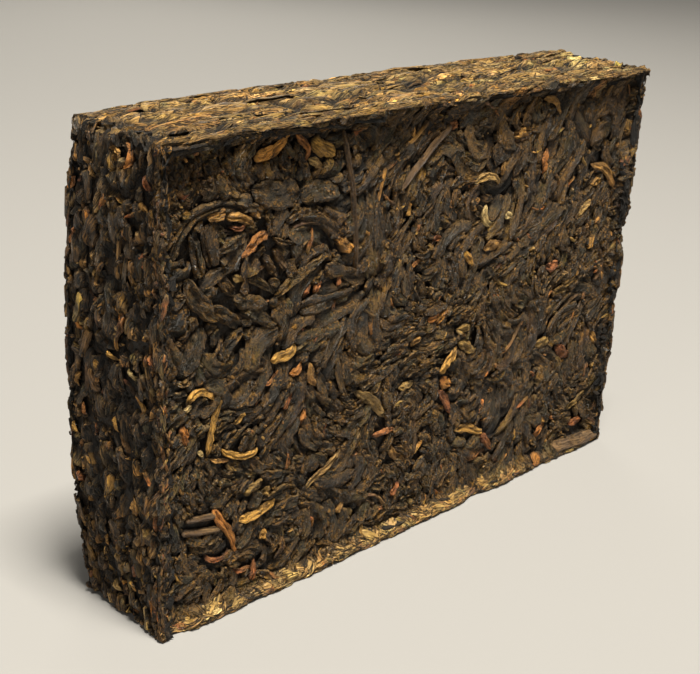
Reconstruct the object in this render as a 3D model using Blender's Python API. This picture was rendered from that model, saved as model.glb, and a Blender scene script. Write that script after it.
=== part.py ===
"""A pressed brick of ripe pu erh tea, standing on one of its long narrow sides.

The brick is one solid. The plunger of the press sinks its front face a little below a ragged rim
of squeezed-out leaf. The back, the ends and the top bulge a little where the leaf has sprung back,
so the corners are the narrowest part, and every side is slightly uneven. Metres, +Z up. The origin
is the middle of the underside, +X runs along the length, and the rimmed face looks towards -Y.
"""

import math

import bmesh
import bpy

# Overall size of the brick, standing
LENGTH = 0.1413
THICKNESS = 0.0273
HEIGHT = 0.0961

# The sunk face and the rim round it
RECESS = 0.0024
RIM_CREST = 0.0014
RIM_FOOT = 0.0036

# Corner radii, at the rimmed face and at the back
FRONT_RADIUS = 0.0008
BACK_RADIUS = 0.0012

# How far the corners are drawn in from each bulging side
NEAR_PINCH = 0.0022
FAR_PINCH = 0.0008
BACK_PINCH = 0.0018
TOP_PINCH = 0.0010
BULGE_POWER = 2.5
# Share of an end's bulge that is left at the rimmed face, and of the top's that runs to its ends
FRONT_SHARE = 0.3
END_SHARE = 0.35
# How far the near upright edge of the rim is rubbed back at mid height
EDGE_WEAR = 0.0016

# Unevenness of the pressed leaf
UNEVENNESS = 0.0004
# Each swell's wave length, and its share of the unevenness
SWELLS = ((0.047, 0.40), (0.021, 0.35), (0.0105, 0.25))

# Spacing of the facets
FACET = 0.0040
BACK_ROUND_STEP = 0.0009

# How far each side of the rim stands proud of the sunk face: its mean share of the recess, and
# how much of the recess it swings by
RIM_SIDES = {
    "top": (0.80, 0.20),
    "bottom": (0.86, 0.14),
    "near": (0.52, 0.34),
    "far": (0.72, 0.22),
}

# Pieces broken out of the rim: side, place along it, half width and share of the rim that is lost
RIM_CHIPS = (
    ("bottom", -0.0665, 0.0022, 0.85),
    ("bottom", 0.0210, 0.0030, 0.45),
    ("top", -0.0510, 0.0045, 0.55),
    ("top", 0.0070, 0.0032, 0.35),
    ("near", 0.0400, 0.0060, 0.70),
    ("near", 0.0830, 0.0030, 0.60),
    ("far", 0.0560, 0.0040, 0.45),
)

LEAF_COLOUR = (0.045, 0.030, 0.018, 1.0)
LEAF_ROUGHNESS = 0.72


def smooth_step(value):
    """0 below 0, 1 above 1, and an even curve between them."""
    held = min(max(value, 0.0), 1.0)
    return held * held * (3.0 - 2.0 * held)


def wave(along, across, phase):
    """An uneven swell between about -1 and 1, from sine waves that cross and turn as they shorten."""
    swell = 0.0
    for order, (length, share) in enumerate(SWELLS):
        turn = phase + 2.0 * order
        main = along * math.cos(turn) + across * math.sin(turn)
        side = across * math.cos(turn) - along * math.sin(turn)
        angle = 2.0 * math.pi / length
        swell += share * math.sin(angle * main + phase) * math.cos(angle * side + 1.7 * phase)
    return swell


def rim_height(side, along, phase):
    """How far one side of the rim stands proud of the sunk face at a place along it."""
    mean, swing = RIM_SIDES[side]
    share = mean + swing * wave(1.6 * along, 0.0, phase)
    for chipped, centre, half_width, lost in RIM_CHIPS:
        if chipped == side:
            share *= 1.0 - lost * math.exp(-(((along - centre) / half_width) ** 2))
    return RECESS * min(max(share, 0.0), 1.0)


def proud_of_face(x, z):
    """The height of the rim over the sunk face: the highest of its four sides there."""
    sides = (
        ("top", HEIGHT - z, x, 0.4),
        ("bottom", z, x, 1.9),
        ("near", x + LENGTH / 2, z, 2.7),
        ("far", LENGTH / 2 - x, z, 4.1),
    )
    highest = 0.0
    for side, inwards, along, phase in sides:
        slope = 1.0 - smooth_step((inwards - RIM_CREST) / (RIM_FOOT - RIM_CREST))
        if slope > 0.0:
            highest = max(highest, slope * rim_height(side, along, phase))
    return highest


def rounded(x, y, z):
    """A point of the square block moved onto rounded edges, which are rounder towards the back."""
    back_share = y / THICKNESS + 0.5
    radius = FRONT_RADIUS + (BACK_RADIUS - FRONT_RADIUS) * smooth_step(back_share)
    halves = (LENGTH / 2, THICKNESS / 2, HEIGHT / 2)
    place = (x, y, z - HEIGHT / 2)
    inner = [min(max(p, radius - half), half - radius) for p, half in zip(place, halves)]
    off = [p - i for p, i in zip(place, inner)]
    reach = math.sqrt(sum(o * o for o in off))
    moved = [i + o * radius / reach for i, o in zip(inner, off)]
    return moved[0], moved[1], moved[2] + HEIGHT / 2


def drawn_in(x, y, z):
    """How far a point of the block moves along x, y and z, so that the sides bulge from the corners."""
    back = y / THICKNESS + 0.5
    end_share = 2.0 * x / LENGTH
    bulge_up = 1.0 - abs(2.0 * z / HEIGHT - 1.0) ** BULGE_POWER
    bulge_along = 1.0 - abs(end_share) ** BULGE_POWER
    pinch = NEAR_PINCH if x < 0.0 else FAR_PINCH
    wear = EDGE_WEAR * bulge_up * max(-end_share, 0.0) ** 6 * (1.0 - back) ** 3
    end_move = wear - end_share * pinch * (1.0 - bulge_up * (FRONT_SHARE + (1.0 - FRONT_SHARE) * back))
    back_move = -back * BACK_PINCH * (1.0 - bulge_up)
    top_reach = END_SHARE + (1.0 - END_SHARE) * bulge_along
    top_move = -smooth_step(z / HEIGHT) * TOP_PINCH * (1.0 - back * top_reach)
    return end_move, back_move, top_move


def brick_point(x, y, z):
    """Where a point of the square block's surface lies on the pressed brick."""
    x_round, y_round, z_round = rounded(x, y, z)
    x_in, y_in, z_in = drawn_in(x, y, z)
    front_fade = 1.0 - smooth_step((y + THICKNESS / 2) / (2.0 * RECESS))
    back_fade = smooth_step(y / THICKNESS + 0.5)
    end_share = 2.0 * x / LENGTH
    top_share = smooth_step(z / HEIGHT)
    y_sunk = y_round + front_fade * (RECESS - proud_of_face(x, z))
    y_swell = back_fade * wave(x, z, 5.2) + front_fade * (1.0 - abs(end_share) ** 8) * wave(x, z, 0.9)
    x_new = x_round + x_in + UNEVENNESS * end_share * wave(z, y, 3.3 + end_share)
    y_new = y_sunk + y_in + UNEVENNESS * y_swell
    z_new = z_round + z_in + UNEVENNESS * top_share * wave(x, y, 6.1)
    return x_new, y_new, z_new


def even_steps(low, high, step):
    """Stations from low to high, both left out, about a step apart."""
    count = max(1, round((high - low) / step))
    return [low + (high - low) * i / count for i in range(1, count)]


def face_stations(low, high):
    """Stations across the long face: its rim at both borders, and even steps between."""
    near = [low + RIM_CREST, low + RIM_FOOT]
    far = [high - RIM_FOOT, high - RIM_CREST]
    return near + even_steps(near[-1], far[0], FACET) + far


def depth_stations():
    """Stations through the thickness: the rim's depth, even steps, and the round back edges."""
    front = -THICKNESS / 2
    back = THICKNESS / 2
    rim = [front + RECESS, front + 2.0 * RECESS]
    round_edge = [back - 2.0 * BACK_ROUND_STEP, back - BACK_ROUND_STEP]
    return rim + even_steps(rim[-1], round_edge[0], FACET) + round_edge


def add_block():
    """The square block that the brick is shaped from, as a bmesh, cut into a grid of facets."""
    block = bmesh.new()
    bmesh.ops.create_cube(block, size=1.0)
    bmesh.ops.scale(block, vec=(LENGTH, THICKNESS, HEIGHT), verts=block.verts)
    bmesh.ops.translate(block, vec=(0.0, 0.0, HEIGHT / 2), verts=block.verts)
    stations = (
        ((1, 0, 0), face_stations(-LENGTH / 2, LENGTH / 2)),
        ((0, 1, 0), depth_stations()),
        ((0, 0, 1), face_stations(0.0, HEIGHT)),
    )
    for normal, places in stations:
        for place in places:
            bmesh.ops.bisect_plane(
                block,
                geom=block.verts[:] + block.edges[:] + block.faces[:],
                dist=1e-7,
                plane_co=[place * n for n in normal],
                plane_no=normal,
            )
    return block


def fit_to_size(block):
    """Stretches the uneven shape by a hair, so that it measures exactly the overall size."""
    lowest = (-LENGTH / 2, -THICKNESS / 2, 0.0)
    spans = (LENGTH, THICKNESS, HEIGHT)
    for axis, (low, span) in enumerate(zip(lowest, spans)):
        places = [vert.co[axis] for vert in block.verts]
        least, most = min(places), max(places)
        for vert in block.verts:
            vert.co[axis] = low + span * (vert.co[axis] - least) / (most - least)


def leaf_material():
    """Dark, matt pressed tea leaf."""
    material = bpy.data.materials.new("pressed_tea")
    material.use_nodes = True
    shader = material.node_tree.nodes["Principled BSDF"]
    shader.inputs["Base Color"].default_value = LEAF_COLOUR
    shader.inputs["Roughness"].default_value = LEAF_ROUGHNESS
    shader.inputs["Metallic"].default_value = 0.0
    material.diffuse_color = LEAF_COLOUR
    return material


def add_brick(collection):
    """The whole brick as one object."""
    block = add_block()
    for vert in block.verts:
        vert.co = brick_point(*vert.co)
    fit_to_size(block)
    bmesh.ops.triangulate(block, faces=block.faces[:])
    bmesh.ops.recalc_face_normals(block, faces=block.faces[:])
    mesh = bpy.data.meshes.new("tea_brick")
    block.to_mesh(mesh)
    block.free()
    mesh.materials.append(leaf_material())
    mesh.shade_smooth()
    mesh.set_sharp_from_angle(angle=math.radians(35))
    brick = bpy.data.objects.new("tea_brick", mesh)
    collection.objects.link(brick)
    return brick


def main():
    for thing in list(bpy.data.objects):
        bpy.data.objects.remove(thing)
    collection = bpy.data.collections.new("pu_erh_tea_brick")
    bpy.context.scene.collection.children.link(collection)
    add_brick(collection)


if __name__ == "__main__":
    main()
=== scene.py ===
"""The looks of a pressed brick of ripe pu erh tea.

The brick stands on one of its long narrow sides. A core of packed leaf, coloured near black as
painted shade for the gaps, keeps its form, and thousands of separate leaves, tips, stems and
flakes lie pressed into every side. The two large faces show leaves lying flat. The narrow sides
show the edges of the layers.

Shapes are worked out in millimetres and become metres when a mesh is written.
"""

import logging
import math
from dataclasses import dataclass, field, replace
from enum import Enum
from functools import cached_property

import bpy
import numpy as np
from mathutils import Matrix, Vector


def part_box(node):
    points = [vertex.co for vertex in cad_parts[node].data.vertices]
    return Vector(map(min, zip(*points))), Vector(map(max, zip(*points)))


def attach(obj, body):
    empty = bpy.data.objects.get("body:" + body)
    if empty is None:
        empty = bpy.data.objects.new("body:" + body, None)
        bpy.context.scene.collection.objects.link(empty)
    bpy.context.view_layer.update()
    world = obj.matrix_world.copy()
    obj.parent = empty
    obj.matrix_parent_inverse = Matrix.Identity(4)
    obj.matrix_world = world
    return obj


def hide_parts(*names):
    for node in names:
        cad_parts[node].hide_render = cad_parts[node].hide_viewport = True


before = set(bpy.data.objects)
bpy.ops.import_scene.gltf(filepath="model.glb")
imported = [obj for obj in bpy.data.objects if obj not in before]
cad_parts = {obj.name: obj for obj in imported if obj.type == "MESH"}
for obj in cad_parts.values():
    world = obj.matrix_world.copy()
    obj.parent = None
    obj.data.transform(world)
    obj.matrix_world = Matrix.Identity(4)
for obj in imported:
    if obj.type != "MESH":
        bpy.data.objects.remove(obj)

MM = 0.001
CAD_NODE = "tea_brick"
BODY = "root"
BAKE_MAP = "OFBake"
# The kind of a mesh's attribute and the key of its data, by how many numbers a value has
VALUE_KINDS = {1: ("FLOAT", "value"), 3: ("FLOAT_VECTOR", "vector"), 4: ("FLOAT_COLOR", "color")}

Array = np.ndarray
Socket = bpy.types.NodeSocket
Span = tuple[float, float]
Place = tuple[float, float, float]
Colour = tuple[float, float, float]
Blend = tuple[tuple[Colour, float], ...]  # colours, each with its share

log = logging.getLogger("tea_brick")


def smooth_step(value: Array) -> Array:
    """0 below 0, 1 above 1, and 3t^2 - 2t^3 between them."""
    held = np.clip(value, 0.0, 1.0)
    return held * held * (3.0 - 2.0 * held)


def between(share: Array, span: tuple) -> Array:
    """The value that lies a share of the way along a span."""
    return span[0] + (span[1] - span[0]) * share


class LatticeNoise:
    """Smooth noise between 0 and 1, read from a wrapped lattice of random numbers."""

    def __init__(self, seed: int, size: int = 32) -> None:
        """Fills the lattice."""
        self.size = size
        self.values = np.random.default_rng(seed).random((size, size, size))

    def at(self, points: Array, wave_length: float) -> Array:
        """The noise at some points.

        A point's place between its eight lattice corners, eased by 3t^2 - 2t^3, weighs their values.

        Args:
            points: Places, with x, y and z on the last axis.
            wave_length: The distance between lattice points.

        Returns:
            One value for each point.
        """
        place = np.asarray(points) / wave_length
        cell = np.floor(place).astype(np.int64)
        ease = smooth_step(place - cell)
        total = np.zeros(place.shape[:-1])
        for corner in np.ndindex(2, 2, 2):
            index = (cell + corner) % self.size
            weight = np.prod(np.where(np.array(corner) == 1, ease, 1.0 - ease), axis=-1)
            total += weight * self.values[index[..., 0], index[..., 1], index[..., 2]]
        return total


class Side(Enum):
    """The sides of the brick. The number is a side's place in the lists of side frames."""

    FRONT = 0
    BACK = 1
    TOP = 2
    BOTTOM = 3
    NEAR = 4
    FAR = 5


@dataclass(frozen=True)
class SideFrame:
    """One side of the block: its corner, its two directions, its way out and its two lengths."""

    corner: Place
    along: tuple[int, int, int]
    across: tuple[int, int, int]
    outward: tuple[int, int, int]
    spans: Span

    def grid(self, step: float) -> tuple[Array, Array]:
        """The side as an even grid: its corner, plus steps along it and across it.

        Args:
            step: About how far apart the grid's points are.

        Returns:
            The grid's points, and its quads as rows of four point numbers.
        """
        counts = [max(2, round(span / step)) for span in self.spans]
        along, across = (np.linspace(0.0, span, n + 1) for span, n in zip(self.spans, counts))
        a, c = (part.ravel()[:, None] for part in np.meshgrid(along, across, indexing="ij"))
        points = np.array(self.corner) + a * np.array(self.along) + c * np.array(self.across)
        i, j = (part.ravel() for part in np.meshgrid(*map(np.arange, counts), indexing="ij"))
        row = counts[1] + 1
        first = i * row + j
        return points, np.stack((first, first + row, first + row + 1, first + 1), axis=-1)


@dataclass(frozen=True)
class BrickForm:
    """The form of the brick, in millimetres: a bulging block with a front face sunk in a ragged rim."""

    length: float
    thickness: float
    height: float
    recess: float = 2.4
    rim_crest: float = 1.4
    rim_foot: float = 3.6
    front_radius: float = 0.8
    back_radius: float = 1.2
    near_pinch: float = 2.2
    far_pinch: float = 0.8
    back_pinch: float = 1.8
    top_pinch: float = 1.0
    bulge_power: float = 2.5
    front_share: float = 0.3
    end_share: float = 0.35
    edge_wear: float = 1.6
    unevenness: float = 0.4
    swells: tuple[Span, ...] = ((47.0, 0.40), (21.0, 0.35), (10.5, 0.25))
    # Each side of the rim: its mean share of the recess, its swing and the phase of its swell
    rim_sides: tuple[tuple[str, float, float, float], ...] = (
        ("top", 0.80, 0.20, 0.4),
        ("bottom", 0.86, 0.14, 1.9),
        ("near", 0.52, 0.34, 2.7),
        ("far", 0.72, 0.22, 4.1),
    )
    # Pieces broken out of the rim: side, place along it, half width and share lost
    rim_chips: tuple[tuple[str, float, float, float], ...] = (
        ("bottom", -66.5, 2.2, 0.85),
        ("bottom", 21.0, 3.0, 0.45),
        ("top", -51.0, 4.5, 0.55),
        ("top", 7.0, 3.2, 0.35),
        ("near", 40.0, 6.0, 0.70),
        ("near", 83.0, 3.0, 0.60),
        ("far", 56.0, 4.0, 0.45),
    )

    def side_frames(self) -> list[SideFrame]:
        """The six sides, in the order of Side. Along, across and outward are right-handed.

        Returns:
            One frame for each side.
        """
        x, y, z = self.length / 2, self.thickness / 2, self.height
        face = (self.length, self.height)
        ledge = (self.length, self.thickness)
        end = (self.height, self.thickness)
        return [
            SideFrame((-x, -y, 0.0), (1, 0, 0), (0, 0, 1), (0, -1, 0), face),
            SideFrame((x, y, 0.0), (-1, 0, 0), (0, 0, 1), (0, 1, 0), face),
            SideFrame((-x, -y, z), (1, 0, 0), (0, 1, 0), (0, 0, 1), ledge),
            SideFrame((-x, y, 0.0), (1, 0, 0), (0, -1, 0), (0, 0, -1), ledge),
            SideFrame((-x, -y, 0.0), (0, 0, 1), (0, 1, 0), (-1, 0, 0), end),
            SideFrame((x, y, 0.0), (0, 0, 1), (0, -1, 0), (1, 0, 0), end),
        ]

    def swell(self, along: Array, across: Array, phase: Array) -> Array:
        """An uneven swell between about -1 and 1: sine waves that cross and turn as they shorten.

        Args:
            along: Places along a side.
            across: Places across it.
            phase: Where the waves start.

        Returns:
            The height of the swell at each place.
        """
        total = np.zeros(np.broadcast(along, across, phase).shape)
        for order, (wave_length, share) in enumerate(self.swells):
            turn = phase + 2.0 * order
            main = along * np.cos(turn) + across * np.sin(turn)
            aside = across * np.cos(turn) - along * np.sin(turn)
            angle = 2.0 * math.pi / wave_length
            total += share * np.sin(angle * main + phase) * np.cos(angle * aside + 1.7 * phase)
        return total

    def rim_height(self, rim_side: tuple[str, float, float, float], along: Array) -> Array:
        """How far one side of the rim stands proud: its mean and swell, less each chip's bell curve.

        Args:
            rim_side: One of rim_sides.
            along: Places along that side.

        Returns:
            One height for each place.
        """
        side, mean, swing, phase = rim_side
        share = mean + swing * self.swell(1.6 * along, np.zeros_like(along), phase)
        for chipped, centre, half_width, lost in self.rim_chips:
            if chipped == side:
                share = share * (1.0 - lost * np.exp(-(((along - centre) / half_width) ** 2)))
        return self.recess * np.clip(share, 0.0, 1.0)

    def proud_of_face(self, x: Array, z: Array) -> Array:
        """The height of the rim over the sunk face: the highest of its four sides there.

        Args:
            x: Places along the face.
            z: Places up it.

        Returns:
            One height for each place.
        """
        reaches = {
            "top": (self.height - z, x),
            "bottom": (z, x),
            "near": (x + self.length / 2, z),
            "far": (self.length / 2 - x, z),
        }
        highest = np.zeros_like(x)
        for rim_side in self.rim_sides:
            inwards, along = reaches[rim_side[0]]
            slope = 1.0 - smooth_step((inwards - self.rim_crest) / (self.rim_foot - self.rim_crest))
            highest = np.maximum(highest, slope * self.rim_height(rim_side, along))
        return highest

    def rounded(self, block: Array) -> Array:
        """Points of the square block moved onto rounded edges, which are rounder towards the back.

        Args:
            block: Points on the surface of the block.

        Returns:
            The moved points.
        """
        back_share = smooth_step(block[..., 1] / self.thickness + 0.5)
        radius = (self.front_radius + (self.back_radius - self.front_radius) * back_share)[..., None]
        half = np.array((self.length, self.thickness, self.height)) / 2
        centre = np.array((0.0, 0.0, self.height / 2))
        place = block - centre
        inner = np.clip(place, radius - half, half - radius)
        off = place - inner
        reach = np.maximum(np.linalg.norm(off, axis=-1, keepdims=True), 1e-6)
        return inner + off * radius / reach + centre

    def drawn_in(self, block: Array) -> Array:
        """How far points of the block move, so that the sides bulge from the corners.

        A side's bulge is 1 less the distance from its middle to a power, and the corners are drawn
        in by each side's pinch where the bulge is less than whole.

        Args:
            block: Points on the surface of the block.

        Returns:
            How far each point moves along x, y and z.
        """
        x, y, z = block[..., 0], block[..., 1], block[..., 2]
        back = y / self.thickness + 0.5
        end_share = 2.0 * x / self.length
        bulge_up = 1.0 - np.abs(2.0 * z / self.height - 1.0) ** self.bulge_power
        bulge_along = 1.0 - np.abs(end_share) ** self.bulge_power
        pinch = np.where(x < 0.0, self.near_pinch, self.far_pinch)
        wear = self.edge_wear * bulge_up * np.maximum(-end_share, 0.0) ** 6 * (1.0 - back) ** 3
        held = bulge_up * (self.front_share + (1.0 - self.front_share) * back)
        top_reach = self.end_share + (1.0 - self.end_share) * bulge_along
        return np.stack(
            (
                wear - end_share * pinch * (1.0 - held),
                -back * self.back_pinch * (1.0 - bulge_up),
                -smooth_step(z / self.height) * self.top_pinch * (1.0 - back * top_reach),
            ),
            axis=-1,
        )

    def shaped(self, block: Array) -> Array:
        """Points of the block with the edges rounded, the front sunk, and the sides bulging and uneven.

        Args:
            block: Points on the surface of the block.

        Returns:
            The moved points, before the shape is given its exact size.
        """
        x, y, z = block[..., 0], block[..., 1], block[..., 2]
        front_fade = 1.0 - smooth_step((y + self.thickness / 2) / (2.0 * self.recess))
        back_fade = smooth_step(y / self.thickness + 0.5)
        end_share = 2.0 * x / self.length
        sunk = front_fade * (self.recess - self.proud_of_face(x, z))
        face_swell = front_fade * (1.0 - np.abs(end_share) ** 8) * self.swell(x, z, 0.9)
        swell = np.stack(
            (
                end_share * self.swell(z, y, 3.3 + end_share),
                back_fade * self.swell(x, z, 5.2) + face_swell,
                smooth_step(z / self.height) * self.swell(x, y, 6.1),
            ),
            axis=-1,
        )
        moved = self.rounded(block) + self.drawn_in(block) + self.unevenness * swell
        moved[..., 1] += sunk
        return moved

    @cached_property
    def fit(self) -> tuple[Array, Array]:
        """The scale and the shift that give the uneven shape exactly its overall size."""
        loose = self.shaped(np.concatenate([side.grid(2.0)[0] for side in self.side_frames()]))
        least, most = loose.min(axis=0), loose.max(axis=0)
        scale = np.array((self.length, self.thickness, self.height)) / (most - least)
        return scale, np.array((-self.length / 2, -self.thickness / 2, 0.0)) - least * scale

    def surface(self, block: Array) -> Array:
        """Where points of the square block's surface lie on the pressed brick."""
        scale, shift = self.fit
        return self.shaped(block) * scale + shift

    def way_out(self, block: Array, round_off: float) -> Array:
        """The direction out of the block at points on its surface, turning over its edges."""
        half = np.array((self.length, self.thickness, self.height)) / 2
        place = block - np.array((0.0, 0.0, self.height / 2))
        off = place - np.clip(place, round_off - half, half - round_off)
        return off / np.maximum(np.linalg.norm(off, axis=-1, keepdims=True), 1e-6)


@dataclass(frozen=True)
class LeafCut:
    """How finely leaves are meshed: rings along, points over the top, and points underneath."""

    rings: int
    over: int
    under: int

    @property
    def around(self) -> int:
        """Points round a ring."""
        return self.over + self.under

    @property
    def triangles(self) -> int:
        """Triangles in a leaf."""
        return 2 * self.around * self.rings

    def stations(self) -> Array:
        """Places along a leaf, 0 and 1 at its tips, closer together towards them."""
        return 0.5 - 0.5 * np.cos(np.pi * np.arange(self.rings + 2) / (self.rings + 1))

    def section(self) -> tuple[Array, Array]:
        """The ring's points: how far across each lies, -1 to 1, and whether it is on top, 1 or 0.

        Those on top are the sines of even angles, closer together towards the sides.
        """
        top = np.sin(np.linspace(-np.pi / 2, np.pi / 2, self.over))
        below = np.linspace(1.0, -1.0, self.under + 2)[1:-1]
        return np.concatenate((top, below)), np.repeat((1.0, 0.0), (self.over, self.under))


@dataclass(frozen=True)
class Wave:
    """A sine wave along a leaf: its turns, which phase it takes, how far it leans, and its height."""

    turns: float
    order: int
    lean: float = 0.0
    height: float = 1.0


@dataclass
class Leaves:
    """Leaves of one kind: one entry of each array for each leaf, in millimetres and radians."""

    SHOULDER = 0.7
    SWAY = Wave(1.0, 0)

    side: Array
    along: Array
    across: Array
    heading: Array
    turn: Array
    sway: Array
    length: Array
    width: Array
    thickness: Array
    top: Array
    pitch: Array
    roll: Array
    hump: Array
    fold: Array
    folds: Array
    flat: Array
    crumple: Array
    ragged: Array
    root: Array
    tip: Array
    wrap: Array
    phase: Array
    colour: Array
    tip_colour: Array
    room: Array

    def __len__(self) -> int:
        """How many leaves there are."""
        return len(self.side)

    def only(self, kept: Array) -> "Leaves":
        """The leaves that a mask keeps."""
        return Leaves(**{name: getattr(self, name)[kept] for name in self.__dataclass_fields__})

    def each(self, name: str) -> Array:
        """One of the arrays, shaped to spread over each leaf's grid."""
        return getattr(self, name)[:, None, None]

    def ripple(self, u: Array, v: Array | float, wave: Wave) -> Array:
        """A sine wave along each leaf, with the leaf's own phase, that leans across it."""
        phase = self.phase[:, wave.order, None, None]
        return wave.height * np.sin(2.0 * np.pi * wave.turns * u + phase + wave.lean * v)

    def outline(self, u: Array) -> Array:
        """The share of its width that each leaf has at some stations.

        It rises from each end as a quarter sine over that end's share of the length, and a power
        below 1 makes the shoulders fuller.
        """
        from_root = np.sin(np.pi / 2 * np.clip(u / self.each("root"), 0.0, 1.0))
        from_tip = np.sin(np.pi / 2 * np.clip((1.0 - u) / self.each("tip"), 0.0, 1.0))
        return (from_root * from_tip) ** self.SHOULDER

    def heading_at(self, u: Array) -> Array:
        """Each leaf's heading at some stations: it turns evenly and sways by one sine wave."""
        sway = self.each("sway") * self.ripple(u, 0.0, self.SWAY)
        return self.each("heading") + self.each("turn") * (u - 0.5) + sway

    def centreline(self, u: Array) -> tuple[Array, Array, Array]:
        """Each leaf's centreline, flat on its side.

        The line is the integral of the heading's direction from the leaf's middle, by Gauss's rule.

        Args:
            u: Stations along the leaves, shaped one by stations by one.

        Returns:
            Places along and across the side, and the heading, at each station.
        """
        nodes, weights = np.polynomial.legendre.leggauss(5)
        half = (u - 0.5) / 2.0
        heading = self.heading_at(0.5 + half * (1.0 + nodes))
        reach = self.each("length") * half
        along = self.each("along") + reach * (np.cos(heading) @ weights)[..., None]
        across = self.each("across") + reach * (np.sin(heading) @ weights)[..., None]
        return along, across, self.heading_at(u)

    def spots(self, count: int) -> Array:
        """Evenly spaced places on each leaf's centreline, shaped leaves by places by two."""
        u = np.linspace(0.0, 1.0, count)[None, :, None]
        return np.concatenate(self.centreline(u)[:2], axis=2)


@dataclass
class MeshArrays:
    """What a mesh is written from.

    Points in millimetres, the point number at each corner, how many corners each face has, each
    corner's place on the map that the looks are baked to, and the values that points carry, by name.
    """

    points: Array
    corners: Array
    face_sizes: Array
    bake_places: Array | None = None
    values: dict[str, Array] = field(default_factory=dict)


class LeafPress:
    """Shapes leaves and presses them onto the sides of the brick."""

    SOFTNESS = 0.07  # how gently a leaf flattens under the press
    HIGHEST = (0.05, -0.2)  # heights at which the press stops a leaf
    # Painted shade: a leaf's colour darkens where it lies deep, in the gaps, by DEEP and DEEP_SHADE, and
    # towards the low borders and creases of its arch, by CREASE_SHADE
    DEEP = (0.35, 1.15)  # depths over which a leaf darkens
    DEEP_SHADE = 0.9
    CREASE_SHADE = 0.4
    TURN_OVER = 1.1  # how far past a border a leaf has turned onto the next side
    OUTLINE_WAVES = (Wave(1.7, 1, 1.6), Wave(4.1, 2, -2.2, 0.7))
    CREASE_WAVE = Wave(0.9, 4, height=1.3)
    ARCH_WAVE = Wave(1.9, 5, 2.6, 0.3)
    COLOUR_WAVE = Wave(1.3, 2, height=0.35)
    ARCH_POWER = 0.8
    UNDERSIDE = 0.3  # depth of the underside, as a share of a leaf's plumpness
    TIP_DROOP = 0.4  # how far the tips droop, as a share of its thickness
    CRUMPLES = ((1.6, 1.6), (0.8, 0.8))  # wave length and share of each size of crumple
    CRUMPLE_RISE = 0.3
    # Crevices at the ends, then at the top and foot: the axis inwards, the axis that they run
    # along, their share of the depth at the faces and inside, and how far in they reach
    CREVICES = ((0, 2, (0.45, 1.0), 6.0), (2, 0, (0.0, 0.8), 2.5))
    CREVICE_DEPTH = 1.4
    CREVICE_WIDTH = 0.26
    CREVICE_SPACING = 1.8
    CREVICE_STRETCH = 5.0
    CREVICE_SHIFT = 90.0  # sets the crevices' noise apart from the crumples'
    FACE_FADE = (0.3, 1.8)  # distances from the two faces over which crevices deepen
    BACK_FADE = 0.7  # share of their depth that they lose at the back
    LOWEST = 0.02

    def __init__(self, form: BrickForm, noise: LatticeNoise) -> None:
        """Keeps the form of the brick and lists its sides as arrays.

        Args:
            form: The form of the brick.
            noise: The noise that crumples leaves and opens crevices.
        """
        self.form = form
        self.noise = noise
        self.corner, self.along, self.across, self.outward, self.spans = (
            np.array([getattr(side, name) for side in form.side_frames()], float)
            for name in SideFrame.__dataclass_fields__
        )

    def shape(self, leaves: Leaves, cut: LeafCut) -> tuple[Array, ...]:
        """The leaves as grids in their side's own plane, before they are laid on the brick.

        Two sine waves make the outline ragged, and the room between neighbours limits it. The
        section is an arch of (1 - |v|^p)^0.8, flatter for a larger p, over a shallow underside. A
        cosine across the leaf creases the arch, the creases wander along it, and ridged noise
        crumples it.

        Args:
            leaves: The leaves.
            cut: How finely to mesh them.

        Returns:
            Places along, across and above the side, run and edge values, and the height of the
            arch, for every grid point.
        """
        u = cut.stations()[None, :, None]
        v, on_top = (part[None, None, :] for part in cut.section())
        each = leaves.each
        along, across, heading = leaves.centreline(u)
        outline = leaves.outline(u)
        waves = sum(leaves.ripple(u, v, wave) for wave in self.OUTLINE_WAVES)
        half = outline * (1.0 + each("ragged") * waves) * each("width") / 2
        free = np.where(v > 0.0, leaves.room[:, 1, :, None], leaves.room[:, 0, :, None])
        reach = v * np.minimum(half, free)
        along = along - reach * np.sin(heading)
        across = across + reach * np.cos(heading)

        wander = leaves.ripple(u, v, self.CREASE_WAVE)
        creases = np.cos(np.pi * each("folds") * v + leaves.phase[:, 3, None, None] + wander)
        arch = (1.0 - np.abs(v) ** each("flat")) ** self.ARCH_POWER
        arch = arch * (1.0 - each("fold") * (0.5 - 0.5 * creases) ** 3)
        arch = arch + each("fold") * (1.0 - v * v) * leaves.ripple(u, v, self.ARCH_WAVE)
        under = -self.UNDERSIDE * (1.0 - v * v)
        plump = each("thickness") * np.sqrt(outline)
        height = each("top") - each("thickness") + plump * (on_top * arch + (1.0 - on_top) * under)
        height = height + each("pitch") * each("length") * (u - 0.5) + each("roll") * reach
        height = height + each("hump") * (0.5 - 2.0 * (u - 0.5) ** 2)
        height = height - self.TIP_DROOP * each("thickness") * (2.0 * u - 1.0) ** 6

        seed = leaves.phase[:, 0, None, None] * 7.0
        run = np.stack(np.broadcast_arrays(u * each("length") + seed, reach, seed), axis=-1)
        ridges = sum(share * np.abs(2.0 * self.noise.at(run, size) - 1.0) for size, share in self.CRUMPLES)
        height = height + each("crumple") * on_top * arch * (self.CRUMPLE_RISE - ridges)
        edge = np.maximum(np.abs(v) ** 3, np.abs(2.0 * u - 1.0) ** 8)
        grid = np.stack(np.broadcast_arrays(along, across, height), axis=-1)
        return grid, run, np.broadcast_to(edge, height.shape), on_top * arch

    @staticmethod
    def row(table: Array, leaves: Leaves) -> Array:
        """The row of a table for each leaf's side, shaped to spread over the leaf's grid."""
        return table[leaves.side][:, None, None, :]

    def on_block(self, leaves: Leaves, flat: Array) -> Array:
        """The places on the square block that lie so far along and across each leaf's side."""
        along = self.row(self.along, leaves) * flat[..., :1]
        across = self.row(self.across, leaves) * flat[..., 1:2]
        return self.row(self.corner, leaves) + along + across

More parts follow.
